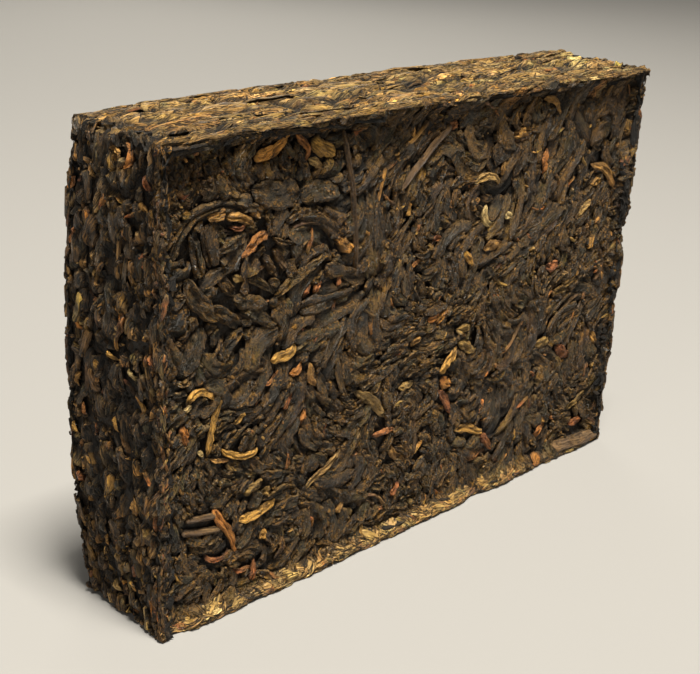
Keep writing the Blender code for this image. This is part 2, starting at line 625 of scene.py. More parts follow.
    def crevices(self, leaves: Leaves, grid: Array) -> Array:
        """How deep the crevices between the layers are, under the points of some grids.

        They lie where noise, drawn out along the layers, crosses its middle. The layers stand
        upright at the two ends of the brick and lie along its top and its foot. The crevices get
        shallower towards the two faces and the back.

        Args:
            leaves: The leaves.
            grid: Places along, across and above each leaf's side.

        Returns:
            One depth for each grid point.
        """
        block = self.on_block(leaves, grid)
        size = np.array((self.form.length, self.form.thickness, self.form.height))
        inwards = size / 2 - np.abs(block - size * (0.0, 0.0, 0.5))
        near, far = self.FACE_FADE
        from_face = smooth_step((inwards[..., 1] - near) / (far - near))
        depth = 0.0
        for axis, drawn_out, share, reach in self.CREVICES:
            place = block.copy()
            place[..., drawn_out] /= self.CREVICE_STRETCH
            gap = np.abs(2.0 * self.noise.at(place + self.CREVICE_SHIFT, self.CREVICE_SPACING) - 1.0)
            beside = between(from_face, share) * (1.0 - smooth_step((inwards[..., axis] - 1.0) / reach))
            depth = np.maximum(depth, beside * (1.0 - smooth_step(gap / self.CREVICE_WIDTH)))
        behind = smooth_step(4.0 * block[..., 1] / self.form.thickness - 1.0)
        return self.CREVICE_DEPTH * depth * (1.0 - self.BACK_FADE * behind)

    def pressed(self, height: Array, limit: Array) -> Array:
        """Heights flattened softly under the press: the limit less a softened excess of depth."""
        return limit - self.SOFTNESS * np.logaddexp(0.0, (limit - height) / self.SOFTNESS)

    def laid(self, leaves: Leaves, grid: Array) -> Array:
        """The grids laid on the brick.

        What reaches past a border either turns over it, onto the next side, or stays straight, or
        lies between the two, by the leaf's wrap.

        Args:
            leaves: The leaves.
            grid: Places along, across and above each leaf's side.

        Returns:
            Points in millimetres.
        """
        flat = grid[..., :2]
        kept = np.clip(flat, 0.0, self.row(self.spans, leaves))
        over = flat - kept
        reach = np.linalg.norm(over, axis=-1, keepdims=True)
        aside = self.row(self.along, leaves) * over[..., :1] + self.row(self.across, leaves) * over[..., 1:]
        wrap = leaves.wrap[:, None, None, None]
        outward = self.row(self.outward, leaves)
        block = self.on_block(leaves, kept) - outward * wrap * reach
        turned = smooth_step(reach / self.TURN_OVER) * wrap
        out = outward * (1.0 - turned) + aside / np.maximum(reach, 1e-6) * turned
        out = out / np.linalg.norm(out, axis=-1, keepdims=True)
        points = self.form.surface(block) + out * grid[..., 2:] + (1.0 - wrap) * aside
        points[..., 2] = np.maximum(points[..., 2], self.LOWEST)
        return points

    def arrays(self, leaves: Leaves, cut: LeafCut) -> MeshArrays:
        """The leaves as one mesh: rings of quads along each leaf, closed to a point at both tips.

        Args:
            leaves: The leaves.
            cut: How finely to mesh them.

        Returns:
            The arrays to write the mesh from.
        """
        grid, run, edge, arch = self.shape(leaves, cut)
        limit = between(leaves.phase[:, 1] / (2.0 * np.pi), self.HIGHEST)
        limit = np.maximum(limit, leaves.top)[:, None, None]
        grid[..., 2] = self.pressed(grid[..., 2], limit) - self.crevices(leaves, grid)
        # Painted shade, carried as leaf_shade: darker the deeper a point lies and the lower it lies on its
        # arch
        depth = smooth_step((-grid[..., 2] - self.DEEP[0]) / (self.DEEP[1] - self.DEEP[0]))
        shade = (1.0 - self.DEEP_SHADE * depth) * (1.0 - self.CREASE_SHADE * (1.0 - np.clip(arch, 0.0, 1.0)))
        u = cut.stations()[None, :, None]
        share = smooth_step(u + leaves.ripple(u, 0.0, self.COLOUR_WAVE))[..., None]
        colour = between(share, (leaves.colour[:, None, None], leaves.tip_colour[:, None, None]))
        colour = np.broadcast_to(colour, grid.shape)
        values = {
            "leaf_run": run,
            "leaf_edge": edge[..., None],
            "leaf_shade": shade[..., None],
            "leaf_colour": np.concatenate((colour, np.ones_like(grid[..., :1])), axis=-1),
        }
        return MeshArrays(
            self.flattened(self.laid(leaves, grid)),
            *self.faces(len(leaves), cut),
            {label: self.flattened(value) for label, value in values.items()},
        )

    @staticmethod
    def flattened(grid: Array) -> Array:
        """A grid's values as rows: for each leaf its first tip, its rings and its last tip."""
        count, _, _, width = grid.shape
        rings = grid[:, 1:-1].reshape(count, -1, width)
        return np.concatenate((grid[:, :1, 0], rings, grid[:, -1:, 0]), axis=1).reshape(-1, width)

    @staticmethod
    def faces(count: int, cut: LeafCut) -> tuple[Array, Array, Array]:
        """The faces of some leaves, and each corner's place on the map that the looks are baked to.

        A leaf is a grid of quads between its rings. Those at its two tips lose one corner there. The
        map is a square grid of cells, one for each leaf, with the leaf's length along a cell.

        Args:
            count: How many leaves there are.
            cut: How finely they are meshed.

        Returns:
            The corners, face_sizes and bake_places of MeshArrays.
        """
        size = cut.rings * cut.around + 2
        number = np.zeros((cut.rings + 2, cut.around + 1), int)
        number[1:-1, :-1] = np.arange(1, size - 1).reshape(cut.rings, cut.around)
        number[1:-1, -1] = number[1:-1, 0]
        number[-1] = size - 1
        u, v = np.meshgrid(cut.stations(), np.linspace(0.0, 1.0, cut.around + 1), indexing="ij")
        kept = np.ones((cut.rings + 1, cut.around, 4), bool)
        kept[0, :, 3] = kept[-1, :, 2] = False
        one, u, v = (
            np.stack((part[:-1, :-1], part[1:, :-1], part[1:, 1:], part[:-1, 1:]), axis=-1)[kept]
            for part in (number, u, v)
        )
        inside = np.stack((u, v), axis=-1) * 0.9 + 0.05

        leaf = np.arange(count)
        row = math.ceil(math.sqrt(count))
        cell = np.stack((leaf % row, leaf // row), axis=-1)[:, None, :]
        corners = (one + size * leaf[:, None]).ravel()
        return corners, np.tile(kept.sum(axis=-1).ravel(), count), ((cell + inside) / row).reshape(-1, 2)


def write_mesh(
    name: str, arrays: MeshArrays, material: bpy.types.Material, crease: float = 180.0
) -> bpy.types.Object:
    """Writes arrays into a smooth mesh object that sits at the origin.

    Args:
        name: The piece's name.
        arrays: What the mesh holds.
        material: Its finish.
        crease: The angle in degrees past which an edge is drawn sharp.

    Returns:
        The new object.
    """
    mesh = bpy.data.meshes.new(name)
    mesh.vertices.add(len(arrays.points))
    mesh.vertices.foreach_set("co", (arrays.points * MM).astype(np.float32).ravel())
    mesh.loops.add(len(arrays.corners))
    mesh.loops.foreach_set("vertex_index", arrays.corners.astype(np.int32))
    mesh.polygons.add(len(arrays.face_sizes))
    starts = np.cumsum(arrays.face_sizes) - arrays.face_sizes
    mesh.polygons.foreach_set("loop_start", starts.astype(np.int32))
    mesh.update(calc_edges=True)
    if arrays.bake_places is not None:
        bake_map = mesh.uv_layers.new(name=BAKE_MAP)
        bake_map.uv.foreach_set("vector", arrays.bake_places.astype(np.float32).ravel())
    for label, values in arrays.values.items():
        kind, key = VALUE_KINDS[values.shape[1]]
        made = mesh.attributes.new(label, kind, "POINT")
        made.data.foreach_set(key, values.astype(np.float32).ravel())
    mesh.materials.append(material)
    mesh.shade_smooth()
    if crease < 180.0:
        mesh.set_sharp_from_angle(angle=math.radians(crease))
    piece = bpy.data.objects.new(name, mesh)
    bpy.context.scene.collection.objects.link(piece)
    return piece


class NodeTree:
    """A thin hand for adding and joining shader nodes."""

    def __init__(self, tree: bpy.types.NodeTree) -> None:
        """Keeps the tree that nodes go into."""
        self.tree = tree

    @classmethod
    def of_material(cls, name: str) -> tuple[bpy.types.Material, "NodeTree"]:
        """A new material, and its empty tree."""
        made = bpy.data.materials.new(name)
        made.use_nodes = True
        made.node_tree.nodes.clear()
        return made, cls(made.node_tree)

    def fill(self, socket: Socket, value: object) -> None:
        """Links a socket to an input, or sets the input to a value."""
        if isinstance(value, Socket):
            self.tree.links.new(value, socket)
        else:
            socket.default_value = value

    def add(self, kind: str, values: dict | None = None, **settings: object) -> bpy.types.Node:
        """Adds a node.

        Args:
            kind: The node's type, without its leading ShaderNode.
            values: Input values or sockets to link, by input name or number.
            settings: The node's own settings.

        Returns:
            The new node.
        """
        node = self.tree.nodes.new(kind if kind.startswith("NodeGroup") else "ShaderNode" + kind)
        for key, value in settings.items():
            setattr(node, key, value)
        for key, value in (values or {}).items():
            self.fill(node.inputs[key], value)
        return node

    def maths(self, operation: str, first: object, second: object = 0.0) -> Socket:
        """What a Math node makes of two values or sockets."""
        return self.add("Math", {0: first, 1: second}, operation=operation).outputs[0]

    def times(self, *factors: object) -> Socket:
        """The product of several values or sockets, held between 0 and 1.

        Args:
            factors: The values or sockets.

        Returns:
            The socket of the product.
        """
        product = factors[0]
        for factor in factors[1:]:
            held = self.add("Math", {0: product, 1: factor}, operation="MULTIPLY", use_clamp=True)
            product = held.outputs[0]
        return product

    def ramp(self, value: object, span: tuple, onto: Span = (0.0, 1.0)) -> Socket:
        """A value eased from one range onto another, and held at its ends."""
        values = {"Value": value, "To Min": onto[0], "To Max": onto[1]}
        values |= {"From Min": span[0], "From Max": span[1]}
        return self.add("MapRange", values, interpolation_type="SMOOTHSTEP").outputs["Result"]

    def blend(self, share: object, first: object, second: object) -> Socket:
        """A mix of two colours by a share.

        Args:
            share: The share of the second colour.
            first: The first colour.
            second: The second colour.

        Returns:
            The socket of the mix.
        """
        node = self.add("Mix", data_type="RGBA")
        inputs = {socket.identifier: socket for socket in node.inputs}
        for key, value in (("Factor_Float", share), ("A_Color", first), ("B_Color", second)):
            self.fill(inputs[key], (*value, 1.0) if isinstance(value, tuple) else value)
        return next(one for one in node.outputs if one.identifier == "Result_Color")

    def noise(
        self, place: object, scale: object, detail: float, roughness: float = 0.5, distortion: float = 0.0
    ) -> Socket:
        """Noise between 0 and 1 at a place."""
        values = {"Vector": place, "Scale": scale, "Detail": detail, "Roughness": roughness}
        return self.add("TexNoise", {**values, "Distortion": distortion}).outputs[0]

    def group(self, group: bpy.types.NodeTree, **given: object) -> bpy.types.Node:
        """Places a shared group and fills its inputs by name, with spaces for underlines."""
        node = self.add("Group", node_tree=group)
        for key, value in given.items():
            self.fill(node.inputs[key.replace("_", " ")], value)
        return node

    def surface(
        self, colour: object, roughness: object, relief: object, depth: float, specular: float
    ) -> None:
        """Ends the tree in a Principled surface with a relief.

        Args:
            colour: The base colour.
            roughness: The roughness.
            relief: The height that the relief follows, 0 to 1.
            depth: How deep the relief is, in millimetres.
            specular: The specular level.
        """
        bump = self.add("Bump", {"Height": relief, "Strength": 1.0, "Distance": depth * MM})
        values = {"Base Color": colour, "Roughness": roughness, "Normal": bump.outputs[0]}
        shader = self.add("BsdfPrincipled", {**values, "Specular IOR Level": specular})
        self.add("OutputMaterial", {"Surface": shader.outputs[0]})


class SharedPatterns:
    """The patterns that several finishes share, each a node group that is built once."""

    def __init__(self) -> None:
        """Builds every group."""
        self.grain = self.leaf_grain()
        self.fleck = self.tea_fleck()
        self.wear = self.edge_wear()
        self.dust = self.tea_dust()

    @staticmethod
    def begin(name: str, inputs: dict[str, str], outputs: tuple[str, ...]) -> tuple[NodeTree, dict, dict]:
        """An empty group with its sockets.

        Args:
            name: The group's name.
            inputs: Each input's kind, by its name.
            outputs: The names of the outputs, which are values.

        Returns:
            The group's tree, and its inputs and outputs by name.
        """
        group = bpy.data.node_groups.new(name, "ShaderNodeTree")
        for label, kind in inputs.items():
            group.interface.new_socket(name=label, in_out="INPUT", socket_type="NodeSocket" + kind)
        for label in outputs:
            group.interface.new_socket(name=label, in_out="OUTPUT", socket_type="NodeSocketFloat")
        tree = NodeTree(group)
        given, put = tree.add("NodeGroupInput"), tree.add("NodeGroupOutput")
        return tree, given.outputs, put.inputs

    @staticmethod
    def leaf_grain() -> bpy.types.NodeTree:
        """Wrinkles that run along a leaf, their crests, thin creases and blotches.

        Creases lie where coarse noise crosses its middle, and raised threads where fine noise does.

        Returns:
            The node group.
        """
        inputs = {"Run": "Vector", "Along": "Float", "Across": "Float", "Crease Width": "Float"}
        outputs = ("Wrinkle", "Crest", "Crease", "Blotch")
        tree, given, put = SharedPatterns.begin("leaf_grain", inputs, outputs)
        stretch = tree.add("CombineXYZ", {"X": given["Along"], "Y": given["Across"], "Z": 1.0}).outputs[0]
        place = tree.add("VectorMath", {0: given["Run"], 1: stretch}, operation="MULTIPLY").outputs[0]
        coarse = tree.noise(place, 0.9, 3.0, 0.6, 1.4)
        fine = tree.noise(place, 2.0, 4.0, 0.7, 0.8)
        from_crack = tree.maths("ABSOLUTE", tree.maths("SUBTRACT", coarse, 0.5))
        from_thread = tree.maths("ABSOLUTE", tree.maths("SUBTRACT", fine, 0.5))
        plateau = tree.maths("MULTIPLY", tree.ramp(from_crack, (0.0, 0.07)), 0.4)
        thread = tree.ramp(from_thread, (0.0, 0.08), (1.0, 0.0))
        swells = tree.maths("MULTIPLY", tree.ramp(fine, (0.25, 0.75)), 0.35)
        height = tree.maths("ADD", tree.maths("ADD", plateau, swells), tree.maths("MULTIPLY", thread, 0.25))
        tree.fill(put["Wrinkle"], height)
        tree.fill(put["Crest"], thread)
        tree.fill(put["Crease"], tree.ramp(from_crack, (0.0, given["Crease Width"]), (1.0, 0.0)))
        tree.fill(put["Blotch"], tree.ramp(tree.noise(given["Run"], 0.55, 1.0), (0.35, 0.65)))
        return tree.tree

    @staticmethod
    def tea_fleck() -> bpy.types.NodeTree:
        """Small flecks of pale tissue and leaf hair, a share of the surface by their amount.

        Returns:
            The node group.
        """
        inputs = {"Place": "Vector", "Per Metre": "Float", "Amount": "Float"}
        tree, given, put = SharedPatterns.begin("tea_fleck", inputs, ("Mask",))
        noise = tree.noise(given["Place"], given["Per Metre"], 3.0, 0.65)
        low = tree.maths("SUBTRACT", 0.72, tree.maths("MULTIPLY", given["Amount"], 0.25))
        mask = tree.ramp(noise, (low, tree.maths("ADD", low, 0.10)))
        patches = tree.ramp(tree.noise(given["Place"], 260.0, 2.0), (0.44, 0.62))
        tree.fill(put["Mask"], tree.times(mask, patches))
        return tree.tree

    @staticmethod
    def edge_wear() -> bpy.types.NodeTree:
        """Paler places on a leaf's edges and crests, where patchy noise lets them show: partly wear, partly a
        painted highlight on the raised parts.

        Returns:
            The node group.
        """
        inputs = {"Edge": "Float", "Crest": "Float", "Place": "Vector", "Amount": "Float"}
        tree, given, put = SharedPatterns.begin("edge_wear", inputs, ("Mask",))
        patches = tree.ramp(tree.noise(given["Place"], 330.0, 3.0, 0.6), (0.45, 0.63))
        fine = tree.ramp(tree.noise(given["Place"], 1600.0, 2.0), (0.36, 0.60))
        edges, crests = tree.times(given["Edge"], fine), tree.times(given["Crest"], patches)
        tree.fill(put["Mask"], tree.times(tree.maths("MAXIMUM", edges, crests), given["Amount"]))
        return tree.tree

    @staticmethod
    def tea_dust() -> bpy.types.NodeTree:
        """A paler colour on what faces up, in uneven patches.

        Returns:
            The node group.
        """
        tree, given, put = SharedPatterns.begin("tea_dust", {"Place": "Vector", "Amount": "Float"}, ("Mask",))
        upwards = tree.add("SeparateXYZ", {0: tree.add("NewGeometry").outputs["Normal"]}).outputs["Z"]
        patches = tree.ramp(tree.noise(given["Place"], 420.0, 3.0, 0.65), (0.36, 0.64))
        tree.fill(put["Mask"], tree.times(tree.ramp(upwards, (0.25, 0.95)), patches, given["Amount"]))
        return tree.tree


@dataclass(frozen=True)
class LeafFinish:
    """The finish of one kind of leaf: its own colours ride on the mesh, and this gives the rest."""

    name: str
    grain: Span = (0.5, 2.0)
    # Painted light and shade: the colour is lighter on the wrinkles' tops and darker in their hollows
    painted_wrinkle_shading: float = 0.5
    # Painted shade: how far the colour darkens in the creases
    crease_shade: float = 0.6
    crease_width: float = 0.035
    fleck_colour: Colour = (0.36, 0.185, 0.05)
    fleck_amount: float = 0.55
    fleck_per_metre: float = 1500.0
    # Paler colour on edges and crests: partly wear, partly a painted highlight on the raised parts
    wear_colour: Colour = (0.28, 0.145, 0.042)
    wear_and_highlight_amount: float = 1.0
    dust_colour: Colour = (0.32, 0.20, 0.075)
    face_up_amount: float = 0.5
    roughness: Span = (0.42, 0.68)
    relief: float = 0.3
    specular: float = 0.5

    def material(self, patterns: SharedPatterns) -> bpy.types.Material:
        """Builds the material.

        The leaf's own colour is flecked, made paler along its edges and crests, partly as wear and partly
        as a painted highlight, and made paler in patches where it faces up, and all that is scaled by
        painted light and shade: lighter on the wrinkles' tops, darker in their hollows and creases and
        where the place lies deep.

        Args:
            patterns: The shared node groups.

        Returns:
            The new material.
        """
        made, tree = NodeTree.of_material(self.name)
        own = tree.add("Attribute", attribute_name="leaf_colour").outputs["Color"]
        run = tree.add("Attribute", attribute_name="leaf_run").outputs["Vector"]
        edge = tree.add("Attribute", attribute_name="leaf_edge").outputs["Fac"]
        shade = tree.add("Attribute", attribute_name="leaf_shade").outputs["Fac"]
        place = tree.add("TexCoord").outputs["Object"]

        grain = tree.group(
            patterns.grain, Run=run, Along=self.grain[0], Across=self.grain[1], Crease_Width=self.crease_width
        ).outputs
        fleck = tree.group(
            patterns.fleck, Place=place, Per_Metre=self.fleck_per_metre, Amount=self.fleck_amount
        ).outputs["Mask"]
        # Wear on the leaf's edges, with a painted highlight on its crests
        wear = tree.group(
            patterns.wear, Place=place, Edge=edge, Crest=grain["Crest"], Amount=self.wear_and_highlight_amount
        ).outputs["Mask"]
        dust = tree.group(patterns.dust, Place=place, Amount=self.face_up_amount).outputs["Mask"]

        # Painted light and shade: brighter on the wrinkles' tops, darker in creases and, by leaf_shade, where
        # the place lies deep
        crease = tree.maths("MULTIPLY", grain["Crease"], self.crease_shade)
        light = tree.ramp(grain["Wrinkle"], (0.0, 1.0), (1.0 - self.painted_wrinkle_shading, 1.0 + self.painted_wrinkle_shading))
        light = tree.times(light, tree.maths("SUBTRACT", 1.0, crease), shade)
        colour = tree.blend(fleck, own, self.fleck_colour)
        colour = tree.blend(wear, colour, self.wear_colour)
        colour = tree.blend(dust, colour, self.dust_colour)
        colour = tree.add("VectorMath", {0: colour, "Scale": light}, operation="SCALE").outputs[0]
        sunk = tree.ramp(shade, (0.0, 1.0), (0.3, 0.0))
        rough = tree.maths("ADD", tree.ramp(grain["Blotch"], (0.0, 1.0), self.roughness), sunk)
        relief = tree.maths("ADD", grain["Wrinkle"], tree.maths("MULTIPLY", crease, -1.2))
        relief = tree.maths("ADD", relief, tree.maths("MULTIPLY", fleck, 0.4))
        tree.surface(colour, rough, relief, self.relief, self.specular)
        return made


@dataclass(frozen=True)
class CoreFinish:
    """The crumbly leaf packed inside the brick, seen in the gaps, coloured near black as painted shade."""

    # Both colours are near black: painted shade that keeps the gaps between the leaves dark
    dark: Colour = (0.006, 0.004, 0.0025)
    light: Colour = (0.026, 0.016, 0.008)
    fleck: Colour = (0.20, 0.11, 0.04)
    lumps_per_metre: float = 700.0
    flecks_per_metre: float = 1300.0
    fleck_amount: float = 0.45
    roughness: Span = (0.6, 0.85)
    relief: float = 0.3
    specular: float = 0.4

    def material(self, patterns: SharedPatterns) -> bpy.types.Material:
        """Builds the material: two colours by noise, with flecks and a crumbly relief.

        Args:
            patterns: The shared node groups.

        Returns:
            The new material.
        """
        made, tree = NodeTree.of_material("packed_core_painted_shade")
        place = tree.add("TexCoord").outputs["Object"]
        lumps = tree.ramp(tree.noise(place, self.lumps_per_metre, 4.0, 0.6), (0.35, 0.7))
        given = {"Place": place, "Per_Metre": self.flecks_per_metre, "Amount": self.fleck_amount}
        fleck = tree.group(patterns.fleck, **given).outputs["Mask"]
        colour = tree.blend(fleck, tree.blend(lumps, self.dark, self.light), self.fleck)
        rough = tree.ramp(lumps, (0.0, 1.0), self.roughness)
        tree.surface(colour, rough, lumps, self.relief, self.specular)
        return made


@dataclass(frozen=True)
class LeafKind:
    """One kind of thing pressed into the brick: its sizes in millimetres and its range of forms."""

    slot: str
    finish: LeafFinish
    cut: LeafCut
    length: Span
    width: Span
    thickness: Span
    colours: Blend
    turn: float = 0.5
    sway: float = 0.12
    pitch: float = 0.03
    roll: float = 0.12
    hump: Span = (0.0, 0.25)
    fold: Span = (0.3, 0.9)
    folds: Span = (0.8, 1.6)
    flat: Span = (2.0, 2.4)
    crumple: Span = (0.0, 0.2)
    ragged: float = 0.15
    ends: Span = (0.15, 0.55)
    wrap: Span = (0.9, 1.0)
    margin: float = 0.1
    tip_colours: Blend = ()
    colour_spread: float = 0.25
    smaller: float = 1.4
    patchy: float = 0.0
    golden_colours: Blend = ()
    crease: float = 38.0


@dataclass(frozen=True)
class Strewn:
    """How many leaves lie on a side, how deep their tops are, how strictly they line up, and where.

    The part of the side that they lie on is given as shares of its two spans. The heading is in
    degrees from the side's length. None lets them swirl. Packed leaves grow until they meet. The
    share of golden ones changes from one end of the side to the other, and by foot towards its foot.
    A negative foot makes the side darker towards its foot.
    """

    side: Side
    count: int
    depth: Span
    spread: float
    heading: float | None = 0.0
    along: Span = (0.0, 1.0)
    across: Span = (0.0, 1.0)
    packed: bool = False
    golden: Span = (0.0, 0.0)
    foot: float = 0.0


@dataclass(frozen=True)
class LaidLeaf:
    """One listed leaf, in millimetres and degrees.

    Its middle lies so far along and across its side from the foot of the brick's middle. It turns
    by so much over its length, and narrows towards its ends over the shares root and tip of it.
    """

    along: float
    across: float
    heading: float
    length: float
    width: float
    colour: Colour
    turn: float = 0.0
    root: float = 0.3
    tip: float = 0.55


class LeafStrewer:
    """Draws leaves of a kind and places them on the sides of the brick."""

    SWIRL_LENGTHS = (20.0, 7.0)
    STEP = np.array((0.7548776662466927, 0.5698402909980532))  # spreads places evenly over a side
    ROOM = (0.3, 1.3)  # distances over which a laid leaf's neighbours rise again
    ROOM_DEPTH = 0.75
    CLOSEST = 0.5  # how near packed leaves' lines may come, as a share of their mean width
    MEET = 0.3  # how far packed leaves run in under one another
    CLEAR = 0.1  # how far a packed leaf's line keeps from the laid leaves, as a share of its width
    SPOTS = 12  # places along a laid leaf where its width counts
    OVERLAP = 0.8  # how far a packed leaf may reach past a border
    MOST_AHEAD = 4.0  # how far a packed leaf may grow at an end
    GROWTH = 3.0
    PATCH_LENGTH = 17.0  # patches of small bits among larger leaves
    LEAST_ROOM = 0.15
    WINDOW = 9.0  # neighbours further away than this don't matter
    BATCH = 24
    MOST_MIX = 0.35  # how far a leaf's colour takes on a second one
    TINT = 0.06  # how much its red, green and blue vary apart
    LAID_TOP = (0.05, 0.3)
    LAID_SPREAD = 0.08  # how much the brightness of listed leaves varies
    LAID_TIP = 0.3  # how far their tips take on a drawn colour
    JITTER = 0.6  # how far a leaf strays from its even place
    STOUTEST = (0.3, 0.45)  # the most width at no length, and how it grows with the length
    PATCH_LAYER = (493.0, 9.0)  # where the patches' noise is read: its start, and its step by side
    SWIRL_LAYER = 40.0
    SWIRLS = (2.6 * np.pi, 1.8)  # how far the slow and the fast noise turn a heading

    def __init__(self, press: LeafPress, seed: int) -> None:
        """Keeps the press and starts the draws."""
        self.press = press
        self.draws = np.random.default_rng(seed)

    def spread(self, count: int, span: Span) -> Array:
        """Even draws over a span."""
        return between(self.draws.random(count), span)

    def palette(self, kind: LeafKind, count: int, given: Blend) -> Array:
        """Colours drawn by share from those given, each mixed a little with another and varied.

        Args:
            kind: What kind of leaf.
            count: How many colours to draw.
            given: The colours and their shares.

        Returns:
            One colour for each leaf.
        """
        colours = np.array([colour for colour, _ in given])
        shares = np.array([share for _, share in given])
        first, second = (self.draws.choice(len(colours), count, p=shares / shares.sum()) for _ in range(2))
        mix = self.MOST_MIX * self.draws.random((count, 1))
        brightness = np.exp(self.draws.normal(0.0, kind.colour_spread, (count, 1)))
        tint = 1.0 + self.draws.normal(0.0, self.TINT, (count, 3))
        return (colours[first] * (1.0 - mix) + colours[second] * mix) * brightness * tint

    def forms(self, kind: LeafKind, count: int) -> dict[str, Array]:
        """The draws that give each leaf of a kind its own form, by the name of its array.

        Args:
            kind: What kind of leaf.
            count: How many leaves.

        Returns:
            Arrays of Leaves by name.
        """
        return {
            "sway": self.draws.normal(0.0, kind.sway, count),
            "thickness": self.spread(count, kind.thickness),
            "pitch": self.draws.normal(0.0, kind.pitch, count),
            "roll": self.draws.normal(0.0, kind.roll, count),
            "hump": self.spread(count, kind.hump),
            "fold": self.spread(count, kind.fold),
            "folds": self.spread(count, kind.folds),
            "flat": self.spread(count, kind.flat),
            "crumple": self.spread(count, kind.crumple),
            "ragged": np.full(count, kind.ragged),
            "wrap": self.spread(count, kind.wrap),
            "phase": 2.0 * np.pi * self.draws.random((count, 6)),
            "tip_colour": self.palette(kind, count, kind.tip_colours or kind.colours),
            "room": np.full((count, 2, 1), np.inf),
        }

    def strew(self, kind: LeafKind, strewn: Strewn, laid: Leaves) -> Leaves:
        """Draws leaves and places them over one side.

        Places step through the side by two irrational shares, which spreads them evenly, and are
        then jittered. Where they swirl, a leaf's heading follows slow noise.

        Args:
            kind: What kind of leaf.
            strewn: Where and how many.
            laid: The listed leaves, which need room.

        Returns:
            The leaves.
        """
        count = strewn.count
        spans = self.press.spans[strewn.side.value]
        even = (self.draws.random(2) + np.arange(count)[:, None] * self.STEP) % 1.0
        low, high = (np.array((strewn.along[i], strewn.across[i])) * spans for i in range(2))
        jitter = self.draws.normal(0.0, self.JITTER, (count, 2))
        place = np.clip(low + even * (high - low) + jitter, kind.margin, spans - kind.margin)
        heading = self.draws.normal(0.0, strewn.spread, count)
        swirl = self.swirl(place, strewn) + heading
        size = self.draws.random(count) ** kind.smaller
        layer = self.PATCH_LAYER[0] + self.PATCH_LAYER[1] * strewn.side.value
        patch = smooth_step(2.0 * self.noise_at(place, layer, self.PATCH_LENGTH) - 0.5)
        scale = 1.0 - kind.patchy * patch
        length = between(size, kind.length) * scale
        width = between(0.5 * size + 0.5 * self.draws.random(count) ** 1.5, kind.width) * scale
        ahead = 0.5 * length[:, None] * np.stack((np.cos(swirl), np.sin(swirl)), axis=-1)
        turn = self.swirl(place + ahead, strewn) - self.swirl(place - ahead, strewn)
        golden_share = between(place[:, :1] / spans[0], strewn.golden)
        golden_share = golden_share + strewn.foot * (1.0 - place[:, 1:] / spans[1])
        golden = self.draws.random((count, 1)) < golden_share
        leaves = Leaves(
            side=np.full(count, strewn.side.value),
            along=place[:, 0],
            across=place[:, 1],
            heading=swirl,
            turn=turn + self.draws.normal(0.0, kind.turn, count),
            length=length,
            width=np.minimum(width, self.STOUTEST[0] + self.STOUTEST[1] * length),
            top=-between(self.draws.random(count) ** 2.0, strewn.depth),
            root=self.spread(count, kind.ends),
            tip=self.spread(count, kind.ends),
            colour=np.where(
                golden,
                self.palette(kind, count, kind.golden_colours or kind.colours),
                self.palette(kind, count, kind.colours),
            ),
            **self.forms(kind, count),
        )
        laid = laid.only(laid.side == strewn.side.value)
        if strewn.packed:
            return self.grown(self.apart(leaves, laid), laid, kind.cut.stations())
        leaves.top -= self.ROOM_DEPTH * self.crowding(leaves, laid)
        leaves.room = np.repeat(leaves.room, kind.cut.rings + 2, axis=2)
        return leaves

    def swirl(self, place: Array, strewn: Strewn) -> Array:
        """The heading at some places: a given one, or one that follows slow noise.

        Args:
            place: Places on the side.
            strewn: Which leaves lie there.

        Returns:
            One angle for each place.
        """
        if strewn.heading is not None:
            return np.full(len(place), math.radians(strewn.heading))
        layer = self.SWIRL_LAYER * strewn.side.value
        slow, fast = (self.noise_at(place, layer, length) for length in self.SWIRL_LENGTHS)
        return self.SWIRLS[0] * slow + self.SWIRLS[1] * fast

    def noise_at(self, place: Array, layer: float, wave_length: float) -> Array:
        """The noise at places on a side, read from a layer of its own."""
        spot = np.concatenate((place, np.full((len(place), 1), layer)), axis=1)
        return self.press.noise.at(spot, wave_length)

    def least(self, first: Array, second: Array) -> Array:
        """The least distances between the spots of leaves of one lot and of another.

        Args:
            first: Spots of the one lot, shaped leaves by places by two.
            second: Spots of the other.

        Returns:
            A table of distances, the one lot by the other.
        """
        found = np.full((len(first), len(second)), 1e12)
        for mine in first.swapaxes(0, 1):
            for theirs in second.swapaxes(0, 1):
                square = (mine**2).sum(axis=1)[:, None] + (theirs**2).sum(axis=1) - 2.0 * mine @ theirs.T
                np.minimum(found, square, out=found)
        return np.sqrt(np.maximum(found, 0.0))

    def apart(self, leaves: Leaves, laid: Leaves) -> Leaves:
        """The leaves that find a place: the largest first, each clear of those kept before it.

        Args:
            leaves: The leaves drawn for one side.
            laid: The listed leaves there.

        Returns:
            The leaves that are kept, in order along the side.
        """
        leaves = leaves.only(np.argsort(leaves.along))
        leaves = leaves.only(~self.covered(leaves, laid))
        spots, width = leaves.spots(6), leaves.width
        clash = np.zeros((len(leaves), len(leaves)), bool)
        for start in range(0, len(leaves), self.BATCH):
            rows = np.arange(start, min(start + self.BATCH, len(leaves)))
            reach = np.abs(leaves.along - leaves.along[rows].mean())
            near = np.flatnonzero(reach < 2.0 * self.WINDOW)
            need = self.CLOSEST * (width[rows, None] + width[near]) / 2
            clash[rows[:, None], near] = self.least(spots[rows], spots[near]) < need
        kept = np.zeros(len(leaves), bool)
        for one in np.argsort(-width * (leaves.length + width)):
            kept[one] = not np.any(clash[one] & kept)
        return leaves.only(kept)

